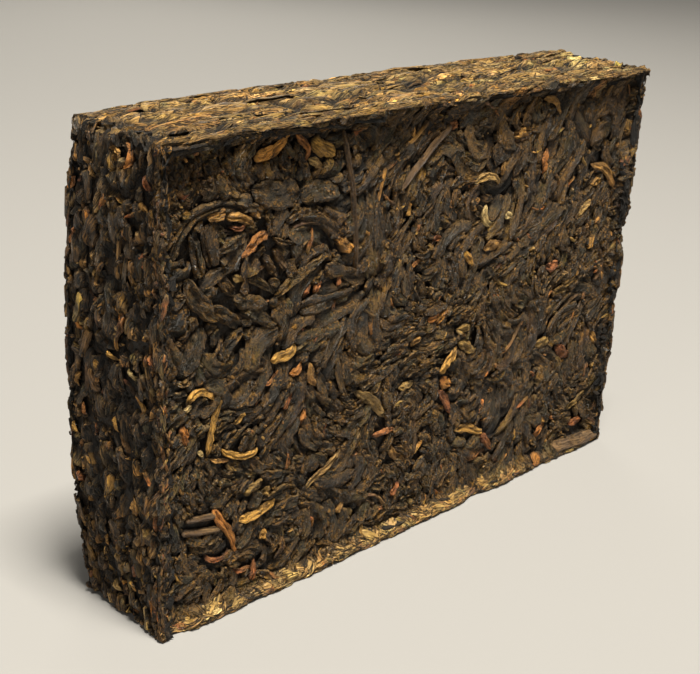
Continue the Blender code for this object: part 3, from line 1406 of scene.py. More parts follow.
    def covered(self, leaves: Leaves, laid: Leaves) -> Array:
        """Whether any part of each leaf's line lies under a listed leaf.

        Args:
            leaves: The leaves drawn for one side.
            laid: The listed leaves there.

        Returns:
            A mask of the leaves that do.
        """
        radius = (laid.width[:, None] * self.outlines(laid)).ravel() / 2
        under = laid.spots(self.SPOTS).reshape(1, -1, 2)
        found = np.zeros(len(leaves), bool)
        for mine in leaves.spots(6).swapaxes(0, 1):
            apart = np.linalg.norm(mine[:, None] - under, axis=-1)
            found |= (apart < radius + self.CLEAR * leaves.width[:, None]).any(axis=1)
        return found

    def outlines(self, laid: Leaves) -> Array:
        """The share of its width that each laid leaf has at its spots."""
        return laid.outline(np.linspace(0.0, 1.0, self.SPOTS)[None, :, None])[..., 0]

    def grown(self, leaves: Leaves, laid: Leaves, stations: Array) -> Leaves:
        """Packed leaves grown until they meet, first at both ends and then to both sides.

        Args:
            leaves: The leaves kept apart, in order along the side.
            laid: The listed leaves on the side.
            stations: The places along a grown leaf where the room at its sides is worked out.

        Returns:
            The grown leaves.
        """
        others = leaves
        heading = leaves.heading_at(np.array((0.0, 1.0))[None, :, None])[..., 0]
        ways = np.stack((np.cos(heading), np.sin(heading)), axis=-1) * np.array((-1.0, 1.0))[:, None]
        ahead = np.minimum(self.free(others, laid, leaves.spots(2), 0.0 * ways, ways), self.MOST_AHEAD)
        spine, length = leaves.length, leaves.length + ahead.sum(axis=1)
        middle = leaves.heading_at(np.full((1, 1, 1), 0.5))[:, 0, 0]
        shift = (ahead[:, 1] - ahead[:, 0]) / 2
        leaves = replace(
            leaves,
            along=leaves.along + shift * np.cos(middle),
            across=leaves.across + shift * np.sin(middle),
            turn=leaves.turn * length / spine,
            length=length,
        )
        run = stations * length[:, None]
        past = np.maximum(run - (ahead[:, 0] + spine)[:, None], 0.0) - np.maximum(ahead[:, :1] - run, 0.0)
        along, across, heading = (part[..., 0] for part in leaves.centreline(stations[None, :, None]))
        past = past[..., None] * np.stack((np.cos(heading), np.sin(heading)), axis=-1)
        base = np.stack((along, across), axis=-1) - past
        left = np.stack((-np.sin(heading), np.cos(heading)), axis=-1)
        room = [self.free(others, laid, base, past, way) for way in (-left, left)]
        leaves = replace(leaves, room=np.stack(room, axis=1), width=self.GROWTH * leaves.width)
        return leaves.only(leaves.room.mean(axis=(1, 2)) > self.LEAST_ROOM)

    def free(
        self, leaves: Leaves, laid: Leaves, base: Array, past: Array, ways: Array
    ) -> Array:
        """How far leaves can grow in some directions before they meet others or pass a border.

        A leaf meets another, whose point lies D from the leaf's own, where the part of the way
        along D is the leaf's share of D. Shares go by width. A listed leaf keeps its own.

        Args:
            leaves: The leaves kept apart, in order along the side.
            laid: The listed leaves on the side.
            base: The nearest points of each leaf's own line, shaped leaves by places by two.
            past: How far past an end of that line each place lies, as a vector.
            ways: The directions to grow in.

        Returns:
            One distance for each place.
        """
        count = len(leaves)
        others = np.concatenate((leaves.spots(5).reshape(-1, 2), laid.spots(self.SPOTS).reshape(-1, 2)))
        owner = np.concatenate((np.repeat(np.arange(count), 5), np.full(self.SPOTS * len(laid), -1)))
        laid_width = laid.width[:, None] * self.outlines(laid)
        width = np.concatenate((np.repeat(leaves.width, 5), laid_width.ravel()))
        spans = self.press.spans[leaves.side[0]]
        border = np.where(ways > 0.0, spans + self.OVERLAP - base - past, -self.OVERLAP - base - past)
        found = (border / np.where(np.abs(ways) < 1e-6, 1e-6, ways)).min(axis=-1)
        for start in range(0, count, self.BATCH):
            batch = slice(start, start + self.BATCH)
            spots = base[batch, :, None]
            low, high = spots[..., 0].min() - self.WINDOW, spots[..., 0].max() + self.WINDOW
            near = (others[:, 0] > low) & (others[:, 0] < high)
            off = others[near] - spots
            apart = np.linalg.norm(off, axis=-1)
            mine = leaves.width[batch, None, None]
            theirs = width[near]
            beside_laid = 1.0 - theirs / np.maximum(2.0 * apart, 1e-6)
            share = np.where(owner[near] < 0, beside_laid, mine / (mine + theirs))
            towards = np.einsum("nsmi,nsi->nsm", off, ways[batch])
            gone = np.einsum("nsmi,nsi->nsm", off, past[batch])
            free = (np.maximum(share, 0.0) * apart**2 - gone) / np.maximum(towards, 1e-6)
            own = owner[near] == np.arange(count)[batch, None, None]
            free = np.where(own | (towards <= 1e-6), 1e6, free).min(axis=-1, initial=1e6)
            found[batch] = np.minimum(found[batch], free)
        return np.maximum(found + self.MEET, 0.0)

    def crowding(self, leaves: Leaves, laid: Leaves) -> Array:
        """How much each strewn leaf gives way to the laid ones: 1 on their lines, 0 far from them.

        The gap is the least distance between points on the two leaves' centrelines, less half the
        laid leaf's width.

        Args:
            leaves: The strewn leaves.
            laid: The listed leaves.

        Returns:
            One share for each strewn leaf.
        """
        gap = (self.least(leaves.spots(4), laid.spots(8)) - laid.width / 2).min(axis=1, initial=9.0)
        return 1.0 - smooth_step((gap - self.ROOM[0]) / (self.ROOM[1] - self.ROOM[0]))

    def lay(self, kind: LeafKind, side: Side, rows: tuple[tuple, ...]) -> Leaves:
        """Lays listed leaves on one side.

        Args:
            kind: What kind of leaf.
            side: The side they lie on.
            rows: The values of a LaidLeaf for each of them.

        Returns:
            The leaves.
        """
        given = [LaidLeaf(*row) for row in rows]
        count = len(given)
        forms = self.forms(kind, count)
        names = LaidLeaf.__dataclass_fields__
        table = {name: np.array([getattr(leaf, name) for leaf in given]) for name in names}
        home = -self.press.corner[side.value]
        own = table["colour"]
        table |= {
            "side": np.full(count, side.value),
            "along": table["along"] + home @ self.press.along[side.value],
            "across": table["across"] + home @ self.press.across[side.value],
            "heading": np.radians(table["heading"]),
            "turn": np.radians(table["turn"]),
            "top": self.spread(count, self.LAID_TOP),
            "colour": own * np.exp(self.draws.normal(0.0, self.LAID_SPREAD, (count, 1))),
            "tip_colour": between(self.LAID_TIP, (own, forms["tip_colour"])),
        }
        return Leaves(**{**forms, **table})


def together(parts: list[Leaves]) -> Leaves:
    """Several handfuls of leaves as one."""
    names = Leaves.__dataclass_fields__
    return Leaves(**{name: np.concatenate([getattr(part, name) for part in parts]) for name in names})


# Colours of the leaf, as linear light
CHARCOAL: Colour = (0.024, 0.017, 0.007)
SLATE: Colour = (0.046, 0.036, 0.017)
UMBER: Colour = (0.064, 0.033, 0.008)
OLIVE_BROWN: Colour = (0.083, 0.052, 0.013)
BARK: Colour = (0.165, 0.100, 0.054)
TAN: Colour = (0.50, 0.310, 0.095)
OCHRE: Colour = (0.47, 0.235, 0.046)
OLIVE_GOLD: Colour = (0.43, 0.26, 0.065)
GOLD: Colour = (0.74, 0.39, 0.070)
CREAM: Colour = (0.76, 0.55, 0.22)
RUSSET: Colour = (0.38, 0.118, 0.028)
AMBER: Colour = (0.64, 0.235, 0.038)
ROSE: Colour = (0.62, 0.23, 0.065)
# FLAME is partly painted light: the orange leaf under the lip gets a colour near the brightest a surface can
# have, to make up for the lip's shadow on it
FLAME: Colour = (0.95, 0.42, 0.07)

BRONZE: Colour = (0.14, 0.078, 0.019)

DARK_LEAF = LeafFinish(
    "dark_leaf", grain=(0.55, 1.3), painted_wrinkle_shading=0.8, crease_shade=0.85, crease_width=0.045,
    fleck_amount=0.9, fleck_colour=(0.31, 0.155, 0.03), wear_colour=(0.23, 0.115, 0.025),
    wear_and_highlight_amount=0.8, roughness=(0.28, 0.6), specular=0.42, relief=0.5,
)
FLAKE = LeafFinish(
    "layered_flake", grain=(0.16, 1.7), painted_wrinkle_shading=0.75, crease_shade=0.93, crease_width=0.06,
    fleck_amount=0.6, wear_and_highlight_amount=0.8, dust_colour=(0.46, 0.28, 0.085), face_up_amount=0.8, relief=0.5,
)
GOLD_TIP = LeafFinish(
    "golden_tip", grain=(0.3, 2.2), crease_shade=0.55, fleck_colour=(0.55, 0.36, 0.12),
    wear_and_highlight_amount=0.3, face_up_amount=0.2, relief=0.4,
)
RUSSET_TIP = LeafFinish(
    "russet_tip", grain=(0.35, 2.2), painted_wrinkle_shading=0.6, crease_shade=0.7, fleck_colour=(0.42, 0.21, 0.08),
    wear_and_highlight_amount=0.3, face_up_amount=0.2, relief=0.4,
)
STEM_BARK = LeafFinish("stem_bark", grain=(0.12, 4.5), painted_wrinkle_shading=0.35, fleck_amount=0.2, face_up_amount=0.3)

LEAF_COLOURS = ((CHARCOAL, 0.38), (SLATE, 0.28), (UMBER, 0.20), (OLIVE_BROWN, 0.14))
BRONZE_COLOURS = ((OLIVE_BROWN, 0.28), (BRONZE, 0.40), (UMBER, 0.20), (OCHRE, 0.12))
FLAKE_COLOURS = ((CHARCOAL, 0.12), (UMBER, 0.18), (OLIVE_BROWN, 0.14), (TAN, 0.36), (OCHRE, 0.20))
PALE_COLOURS = ((TAN, 0.4), (GOLD, 0.15), (CREAM, 0.45))
END_COLOURS = ((CHARCOAL, 0.36), (SLATE, 0.16), (UMBER, 0.30), (OCHRE, 0.11), (TAN, 0.07))
EDGE_COLOURS = ((UMBER, 0.40), (OLIVE_BROWN, 0.22), (OCHRE, 0.22), (RUSSET, 0.16))
LUMP_COLOURS = ((TAN, 0.55), (CREAM, 0.15), (OCHRE, 0.2), (RUSSET, 0.1))
TIP_COLOURS = ((OCHRE, 0.5), (GOLD, 0.25), (TAN, 0.15), (OLIVE_GOLD, 0.1))
RUSSET_COLOURS = ((RUSSET, 0.6), (AMBER, 0.3), (ROSE, 0.1))
TIP_ENDS = ((OCHRE, 0.35), (UMBER, 0.30), (GOLD, 0.15), (RUSSET, 0.2))
STEM_COLOURS = ((UMBER, 0.4), (BARK, 0.4), (OCHRE, 0.2))
CRUMB_COLOURS = ((UMBER, 0.35), (OLIVE_BROWN, 0.2), (OCHRE, 0.2), (CHARCOAL, 0.2), (RUSSET, 0.05))

FINE = LeafCut(16, 13, 3)
PLATE = LeafKind(
    "pressed_leaf", DARK_LEAF, LeafCut(8, 9, 2), (0.5, 12.0), (0.7, 3.2), (0.7, 1.1), LEAF_COLOURS,
    turn=0.15, pitch=0.05, roll=0.22, hump=(0.0, 0.2), fold=(0.1, 0.7), folds=(0.8, 2.4),
    flat=(3.0, 8.0), crumple=(0.3, 0.7), ragged=0.05, ends=(0.04, 0.3), colour_spread=0.55,
    smaller=1.2, patchy=0.6, golden_colours=BRONZE_COLOURS,
)
TWISTED_LEAF = LeafKind(
    "pressed_leaf", DARK_LEAF, LeafCut(6, 5, 2), (4.5, 12.0), (1.1, 2.2), (0.5, 0.95), LEAF_COLOURS,
    turn=0.8, sway=0.2, ragged=0.2, ends=(0.15, 0.5), margin=3.0,
)
SIDE_FLAKE = LeafKind(
    "pressed_leaf", FLAKE, LeafCut(6, 7, 2), (2.5, 15.0), (0.6, 2.2), (0.6, 1.1), FLAKE_COLOURS,
    turn=0.12, sway=0.04, roll=0.35, fold=(0.1, 0.6), flat=(2.6, 6.0), ends=(0.06, 0.3),
    crumple=(0.1, 0.4), colour_spread=0.55, golden_colours=PALE_COLOURS,
)
END_FLAKE = LeafKind(
    "pressed_leaf", FLAKE, LeafCut(5, 5, 2), (0.6, 4.5), (0.5, 1.9), (0.6, 1.3), END_COLOURS,
    turn=0.3, sway=0.1, pitch=0.08, roll=0.35, fold=(0.2, 0.8), flat=(2.2, 5.0), ragged=0.1,
    ends=(0.05, 0.25), wrap=(1.0, 1.0), colour_spread=0.5,
)
LIP_FLAKE = LeafKind(
    "pressed_leaf", FLAKE, LeafCut(7, 5, 2), (4.0, 11.0), (1.2, 2.6), (0.35, 0.7), FLAKE_COLOURS,
    turn=0.25, ragged=0.25, ends=(0.2, 0.5), wrap=(0.1, 0.7), colour_spread=0.3,
)
EDGE_FLAKE = LeafKind(
    "pressed_leaf", FLAKE, LeafCut(6, 5, 2), (1.5, 5.5), (0.5, 1.4), (0.5, 0.9), EDGE_COLOURS,
    turn=0.3, sway=0.15, roll=0.4, ragged=0.25, wrap=(0.5, 1.0), crumple=(0.2, 0.6), colour_spread=0.4,
)
LEDGE_LUMP = LeafKind(
    "pressed_leaf", FLAKE, LeafCut(6, 5, 2), (2.5, 6.5), (1.6, 3.0), (0.7, 1.2), LUMP_COLOURS,
    turn=0.4, ragged=0.22, ends=(0.25, 0.5), wrap=(0.85, 1.0),
)
GOLDEN_TIP = LeafKind(
    "golden_tip", GOLD_TIP, LeafCut(6, 5, 2), (2.0, 6.5), (0.6, 1.4), (0.4, 0.8), TIP_COLOURS,
    turn=0.9, sway=0.25, fold=(0.5, 0.9), folds=(1.2, 2.2), ragged=0.22, ends=(0.1, 0.5), margin=2.5,
    tip_colours=TIP_ENDS,
)
RUSSET_LEAF = replace(GOLDEN_TIP, finish=RUSSET_TIP, width=(0.6, 1.5), colours=RUSSET_COLOURS, turn=0.8)
STEM = LeafKind(
    "stem", STEM_BARK, LeafCut(6, 5, 2), (6.0, 15.0), (0.8, 1.3), (0.7, 1.0), STEM_COLOURS,
    turn=0.15, sway=0.04, fold=(0.0, 0.3), ragged=0.04, ends=(0.05, 0.12), margin=4.0,
)
CRUMB = LeafKind(
    "pressed_leaf", FLAKE, LeafCut(2, 4, 2), (0.5, 1.6), (0.4, 1.1), (0.3, 0.7), CRUMB_COLOURS,
    turn=0.2, pitch=0.15, roll=0.3, ends=(0.3, 0.5), colour_spread=0.4,
)
LAID_DARK = replace(
    TWISTED_LEAF, cut=FINE, thickness=(0.9, 1.3), sway=0.12, pitch=0.0, fold=(0.2, 0.7),
    folds=(1.2, 2.8), flat=(3.0, 8.0), crumple=(0.6, 0.9), ragged=0.09,
)
LAID_GOLD = replace(
    GOLDEN_TIP, cut=FINE, thickness=(0.6, 0.9), pitch=0.0, roll=0.15, fold=(0.4, 0.8),
    flat=(3.0, 6.0), crumple=(0.5, 0.9), ragged=0.13,
)
LAID_RUSSET = replace(LAID_GOLD, finish=RUSSET_TIP, colours=RUSSET_COLOURS)
LAID_STEM = replace(STEM, cut=FINE, pitch=0.0, roll=0.0)


@dataclass(frozen=True)
class LaidPiece:
    """A piece of the model: leaves of one kind laid one by one, by side, as rows of LaidLeaf values."""

    name: str
    kind: LeafKind
    laid: dict[Side, tuple[tuple, ...]]


@dataclass(frozen=True)
class StrewnPiece:
    """One kind of leaf, where it is strewn, and how many pieces of the model it is written as."""

    name: str
    kind: LeafKind
    strewn: tuple[Strewn, ...]
    parts: int = 1


# The rows of leaves that are laid one by one
GOLD_ON_FRONT = (
    (-42.8, 91.2, 26, 10.5, 2.7, FLAME, 55, 0.12, 0.6),
    (-30.5, 89.6, -30, 7.0, 3.2, GOLD, 0, 0.12, 0.4),
    (-32.7, 87.2, -25, 4.0, 1.7, TAN),
    (-56.5, 81.0, -8, 4.4, 1.8, OCHRE, 0, 0.1, 0.1),
    (-50.6, 79.8, -18, 7.2, 1.8, OCHRE, 10, 0.15, 0.3),
    (-66.8, 68.6, 55, 5.0, 0.9, BRONZE, -80),
    (-51.0, 68.5, -30, 2.6, 1.5, OLIVE_GOLD),
    (-59.5, 48.5, 0, 8.5, 1.6, GOLD, -110, 0.25, 0.3),
    (-62.5, 46.0, 5, 2.4, 1.1, CREAM),
    (-39.0, 50.5, 15, 7.0, 2.4, GOLD, 15, 0.2, 0.2),
    (-35.5, 46.5, 25, 4.0, 1.9, AMBER),
    (-31.8, 44.0, -70, 6.5, 1.8, OCHRE),
    (-33.5, 36.0, 70, 4.5, 1.5, AMBER),
    (-56.5, 41.0, 70, 13.0, 1.7, GOLD, -50, 0.2, 0.4),
    (-50.0, 40.5, 43, 3.0, 1.2, GOLD),
    (-50.0, 32.5, -15, 10.5, 1.5, GOLD, 70, 0.3, 0.3),
    (-54.5, 33.0, -20, 5.0, 1.0, OCHRE),
    (-59.5, 36.0, -18, 1.4, 1.1, CREAM),
    (-46.0, 24.5, 15, 5.0, 2.4, OLIVE_GOLD, 0, 0.15, 0.2),
    (-42.5, 22.5, -14, 3.0, 2.0, OLIVE_GOLD),
    (-27.0, 22.0, 35, 13.5, 1.8, TAN, 0, 0.4, 0.4),
    (-45.0, 18.5, 10, 10.0, 1.8, GOLD, 20, 0.2, 0.3),
    (-52.5, 17.0, -65, 14.0, 2.1, AMBER, 0, 0.12, 0.75),
    (-43.5, 13.0, 65, 2.8, 1.6, GOLD),
    (-6.0, 74.0, 75, 3.2, 1.5, GOLD),
    (13.5, 60.0, -55, 5.5, 1.8, GOLD),
    (21.5, 61.5, 5, 6.5, 2.6, OCHRE),
    (18.0, 67.5, -55, 7.8, 1.7, CREAM, 150),
    (26.0, 67.5, 0, 2.6, 1.7, CREAM),
    (18.0, 77.5, -10, 10.0, 1.8, TAN, -130),
    (62.0, 72.0, -33, 16.0, 2.2, OCHRE),
    (37.0, 78.0, -104, 6.0, 1.8, AMBER),
    (54.0, 65.0, 32, 6.5, 2.3, TAN),
    (28.0, 85.5, 5, 6.5, 2.3, OCHRE),
    (38.5, 91.0, -30, 8.0, 1.7, OCHRE, -70),
    (22.5, 78.5, 88, 3.5, 1.7, OCHRE),
    (-3.0, 62.0, 22, 3.5, 1.5, AMBER),
    (10.0, 37.0, 46, 7.5, 2.5, GOLD, 0, 0.2, 0.3),
    (9.5, 31.5, -45, 4.3, 2.5, AMBER, 0, 0.2, 0.3),
    (14.0, 43.5, 0, 4.2, 2.2, OLIVE_GOLD),
    (16.0, 38.5, -26, 8.0, 2.5, OLIVE_GOLD),
    (19.5, 17.5, -17, 12.0, 2.4, GOLD),
    (-13.5, 33.5, -40, 14.0, 2.4, TAN),
    (-5.5, 18.5, -55, 8.5, 1.9, OCHRE, -60),
    (-21.5, 11.5, 40, 3.2, 2.1, OCHRE),
    (-3.0, 34.5, 5, 5.0, 1.7, OLIVE_GOLD),
    (-1.5, 44.5, 35, 3.5, 1.7, OCHRE),
    (4.0, 48.5, 5, 4.2, 1.9, AMBER),
    (43.5, 33.0, 10, 5.5, 2.7, OLIVE_GOLD),
    (65.0, 28.5, -50, 6.5, 2.3, OCHRE),
    (60.5, 13.0, 18, 8.5, 3.0, OLIVE_GOLD),
    (44.5, 1.8, 40, 5.0, 2.6, AMBER),
)
GOLD_ON_NEAR = (
    (92.5, -1.0, 20, 6.5, 1.1, OCHRE, 300),
    (94.0, -12.3, -40, 2.2, 1.0, GOLD),
    (84.0, 12.0, -35, 3.0, 1.4, AMBER),
    (70.5, 8.0, -15, 3.6, 1.7, OCHRE),
    (55.0, 0.0, -105, 3.6, 1.2, GOLD),
    (52.5, -5.5, -130, 4.2, 1.0, CREAM),
    (41.5, -0.5, -160, 3.2, 1.2, GOLD),
    (36.5, 11.5, -140, 2.8, 1.2, GOLD),
    (39.0, 3.0, -160, 2.8, 1.2, OCHRE),
    (31.5, 5.0, -140, 5.0, 1.4, GOLD),
    (23.0, 8.0, -145, 3.2, 1.4, OCHRE),
    (6.0, 2.0, -115, 3.2, 1.7, TAN),
    (17.5, -6.5, -130, 1.8, 1.1, OCHRE),
    (34.5, -4.5, -155, 2.6, 1.2, OLIVE_GOLD),
    (41.5, 8.5, -155, 2.6, 1.4, AMBER),
    (26.0, -5.0, -170, 5.0, 1.8, OCHRE),
    (15.0, 4.0, 175, 3.4, 1.2, OCHRE),
    (47.0, 10.5, 170, 3.8, 1.3, OCHRE),
)
RUSSET_ON_FRONT = (
    (-35.0, 90.6, -70, 7.2, 1.6, AMBER, -60),
    (-47.6, 74.8, 28, 8.0, 2.0, AMBER, 0, 0.5, 0.25),
    (-51.2, 77.9, -2, 4.5, 1.0, RUSSET),
    (-33.5, 62.5, 56, 3.4, 1.3, RUSSET),
    (-31.0, 63.0, 53, 3.2, 1.2, ROSE),
    (-42.0, 46.5, 31, 4.6, 1.0, ROSE),
    (-37.5, 41.0, 55, 4.6, 1.2, RUSSET),
    (-63.5, 40.5, -79, 5.0, 2.1, AMBER),
    (-55.5, 11.5, -10, 8.0, 1.2, RUSSET, 145),
    (-49.0, 7.0, -17, 5.4, 1.3, RUSSET),
    (-46.0, 6.0, 80, 5.4, 1.3, RUSSET),
    (5.5, 90.0, 20, 3.0, 1.8, ROSE),
    (3.0, 66.5, 5, 2.6, 1.6, RUSSET),
    (44.5, 52.0, 0, 4.8, 2.7, RUSSET),
    (-25.0, 64.0, 87, 5.0, 1.2, RUSSET),
    (10.0, 27.0, -55, 8.5, 2.1, RUSSET),
    (25.5, 12.5, -50, 7.5, 2.0, RUSSET),
    (-9.5, 25.5, 0, 7.0, 1.8, ROSE),
    (-5.0, 10.5, 50, 4.2, 1.7, RUSSET),
    (52.0, 28.0, -43, 8.0, 2.8, RUSSET),
    (46.5, 9.0, 31, 4.5, 2.7, AMBER),
    (61.5, 7.0, 0, 6.0, 2.4, RUSSET),
)
RUSSET_ON_NEAR = (
    (92.5, -4.5, 10, 7.0, 1.1, AMBER, 230),
    (74.5, 11.5, -25, 5.0, 1.3, ROSE),
    (65.0, 7.0, -170, 3.4, 1.2, ROSE),
    (64.5, 5.0, -97, 3.4, 0.8, ROSE),
    (26.5, 10.5, -137, 2.4, 1.4, RUSSET),
    (88.0, -9.0, -165, 3.8, 1.5, RUSSET),
)
DARK_ON_FRONT = (
    (-60.2, 82.0, 24, 22.5, 2.7, SLATE, -112, 0.15, 0.2),
    (-61.5, 74.4, -79, 9.5, 1.3, CHARCOAL, 14, 0.3, 0.4),
    (-60.1, 74.8, -77, 10.0, 1.3, SLATE, 12, 0.3, 0.4),
    (-58.7, 75.6, -74, 9.0, 1.2, UMBER, 18, 0.3, 0.4),
    (-52.6, 75.4, 22, 8.0, 2.6, SLATE, 15, 0.5, 0.3),
    (-54.6, 72.4, -62, 6.0, 1.3, CHARCOAL, 25, 0.3, 0.4),
    (-42.4, 82.8, -12, 12.0, 5.4, SLATE, 25, 0.35, 0.16),
    (-30.8, 82.0, 5, 10.8, 4.4, SLATE, -25, 0.14, 0.4),
    (-53.3, 89.6, -76, 6.0, 1.8, SLATE, 0, 0.3, 0.5),
    (-34.8, 66.6, 25, 17.0, 1.9, OLIVE_BROWN),
    (-43.2, 69.4, -56, 6.5, 1.9, UMBER, 0, 0.3, 0.4),
    (-40.4, 69.8, -56, 7.0, 1.7, BARK, 0, 0.3, 0.4),
    (-40.0, 73.2, -20, 6.5, 1.3, UMBER, 40),
    (-45.0, 66.2, -33, 9.2, 1.8, OLIVE_BROWN, -50),
    (-59.8, 65.6, -50, 13.0, 4.0, CHARCOAL, 20, 0.35, 0.45),
    (-53.6, 67.6, -46, 7.0, 2.2, UMBER, 0, 0.3, 0.4),
    (-47.6, 63.2, -22, 10.0, 3.0, SLATE, 12, 0.3, 0.35),
    (-53.2, 61.4, -38, 9.5, 2.8, CHARCOAL, 0, 0.35, 0.4),
    (-45.4, 59.8, -30, 11.5, 2.6, SLATE, 10, 0.35, 0.5),
    (-61.5, 56.5, 65, 11.5, 5.0, SLATE, 15, 0.45, 0.4),
    (-52.4, 56.4, 42, 10.5, 2.2, CHARCOAL, -30, 0.4, 0.5),
)
DARK_ON_TOP = (
    (-68.6, -4.0, 85, 12.0, 3.0, SLATE, 15),
    (-67.0, 4.5, 80, 13.0, 2.6, UMBER, -10),
    (-66.0, -8.5, 60, 8.0, 2.2, SLATE, 30),
)
STEMS_ON_FRONT = (
    (-22.5, 78.5, -79, 30.0, 1.1, UMBER, 0, 0.05, 0.08),
    (-2.5, 84.5, 39, 18.5, 1.6, BARK, -13, 0.05, 0.05),
    (-59.3, 22.0, -11, 7.5, 1.5, BARK, 0, 0.06, 0.06),
    (-59.0, 19.0, -13, 10.0, 1.6, BARK, 0, 0.06, 0.06),
    (61.0, 2.2, -3, 18.0, 2.4, BARK, 0, 0.1, 0.2),
)

LAID_PIECES = (
    LaidPiece("laid_golden_tips", LAID_GOLD, {Side.FRONT: GOLD_ON_FRONT, Side.NEAR: GOLD_ON_NEAR}),
    LaidPiece("laid_russet_tips", LAID_RUSSET, {Side.FRONT: RUSSET_ON_FRONT, Side.NEAR: RUSSET_ON_NEAR}),
    LaidPiece("laid_dark_leaves", LAID_DARK, {Side.FRONT: DARK_ON_FRONT, Side.TOP: DARK_ON_TOP}),
    LaidPiece("laid_stems", LAID_STEM, {Side.FRONT: STEMS_ON_FRONT}),
)

STREWN_PIECES = (
    StrewnPiece("plates_front", PLATE, (
        # foot=-0.5 is painted shade: fewer golden leaves darken the front towards its foot
        Strewn(Side.FRONT, 6500, (-0.15, 0.5), 0.2, None, packed=True, golden=(0.15, 0.9), foot=-0.5),
    ), 2),
    StrewnPiece("plates_back", replace(PLATE, cut=LeafCut(5, 5, 2)), (
        Strewn(Side.BACK, 2000, (-0.15, 0.5), 0.28, None, packed=True, golden=(0.3, 0.3)),
    )),
    StrewnPiece("twisted_leaves", TWISTED_LEAF, (
        Strewn(Side.FRONT, 150, (-0.15, 0.3), 0.7, None),
        Strewn(Side.BACK, 110, (-0.15, 0.3), 0.7, None),
    )),
    StrewnPiece("side_flakes_top", SIDE_FLAKE, (
        Strewn(Side.TOP, 350, (0.6, 1.3), 0.14),
        Strewn(Side.TOP, 2000, (-0.25, 1.0), 0.12, packed=True, golden=(0.1, 1.0)),
    )),
    StrewnPiece("side_flakes_bottom", SIDE_FLAKE, (
        Strewn(Side.BOTTOM, 1500, (0.0, 0.5), 0.14, packed=True),
    )),
    StrewnPiece("end_flakes_near", END_FLAKE, (
        Strewn(Side.NEAR, 350, (0.6, 1.5), 0.3),
        Strewn(Side.NEAR, 2600, (-0.3, 1.5), 0.25, packed=True),
    )),
    StrewnPiece("end_flakes_far", END_FLAKE, (
        Strewn(Side.FAR, 200, (0.6, 1.5), 0.3),
        Strewn(Side.FAR, 1500, (-0.3, 1.4), 0.25, packed=True),
    )),
    StrewnPiece("lip_flakes", LIP_FLAKE, (
        Strewn(Side.TOP, 110, (-0.3, 0.3), 0.14, across=(0.0, 0.07)),
        Strewn(Side.TOP, 60, (-0.2, 0.3), 0.14, across=(0.93, 1.0)),
        Strewn(Side.BOTTOM, 50, (0.0, 0.3), 0.14, across=(0.0, 0.07)),
    )),
    StrewnPiece("edge_flakes", EDGE_FLAKE, (
        Strewn(Side.FRONT, 150, (-0.5, 0.5), 0.4, 90.0, along=(0.0, 0.022)),
        Strewn(Side.FRONT, 80, (-0.2, 0.5), 0.35, 90.0, along=(0.98, 1.0)),
        Strewn(Side.NEAR, 110, (-0.4, 0.6), 0.3, across=(0.0, 0.1)),
        Strewn(Side.FAR, 60, (-0.2, 0.5), 0.3, across=(0.9, 1.0)),
        Strewn(Side.BACK, 80, (-0.1, 0.5), 0.35, 90.0, along=(0.0, 0.02)),
        Strewn(Side.BACK, 80, (-0.1, 0.5), 0.35, 90.0, along=(0.98, 1.0)),
    )),
    StrewnPiece("ledge_lumps", LEDGE_LUMP, (
        Strewn(Side.FRONT, 260, (-0.35, 0.1), 0.3, across=(0.0, 0.022)),
        Strewn(Side.BACK, 50, (0.0, 0.5), 0.4, across=(0.005, 0.025)),
    )),
    StrewnPiece("golden_tips", GOLDEN_TIP, (
        Strewn(Side.FRONT, 130, (0.0, 0.4), 0.9, None),
        Strewn(Side.BACK, 230, (-0.05, 0.4), 0.9, None),
        Strewn(Side.TOP, 50, (0.0, 0.4), 0.2),
        Strewn(Side.BOTTOM, 30, (0.0, 0.4), 0.2),
        Strewn(Side.NEAR, 30, (0.0, 0.4), 0.4),
        Strewn(Side.FAR, 50, (0.0, 0.4), 0.4),
    )),
    StrewnPiece("russet_tips", RUSSET_LEAF, (
        Strewn(Side.FRONT, 90, (0.0, 0.4), 1.2, None),
        Strewn(Side.BACK, 120, (-0.05, 0.4), 1.2, None),
        Strewn(Side.TOP, 30, (0.0, 0.4), 0.2),
        Strewn(Side.BOTTOM, 20, (0.0, 0.4), 0.2),
        Strewn(Side.NEAR, 40, (0.0, 0.5), 0.5),
        Strewn(Side.FAR, 40, (0.0, 0.5), 0.5),
    )),
    StrewnPiece("stems", STEM, (
        Strewn(Side.FRONT, 30, (0.0, 0.3), 1.2, None),
        Strewn(Side.BACK, 40, (0.0, 0.3), 1.2, None),
        Strewn(Side.TOP, 12, (0.0, 0.3), 0.1),
        Strewn(Side.NEAR, 8, (0.0, 0.3), 0.2),
        Strewn(Side.FAR, 8, (0.0, 0.3), 0.2),
    )),
    StrewnPiece("tea_crumbs", CRUMB, (
        Strewn(Side.FRONT, 500, (-0.1, 0.9), 3.0),
        Strewn(Side.FRONT, 260, (-0.2, 0.3), 3.0, along=(0.02, 0.22), across=(0.86, 0.99)),
        Strewn(Side.BACK, 450, (-0.1, 0.9), 3.0),
        Strewn(Side.TOP, 100, (-0.15, 0.4), 0.6),
        Strewn(Side.BOTTOM, 150, (0.0, 0.4), 0.6),
        Strewn(Side.NEAR, 350, (-0.15, 0.6), 0.8),
        Strewn(Side.FAR, 250, (-0.15, 0.6), 0.8),
    )),
)


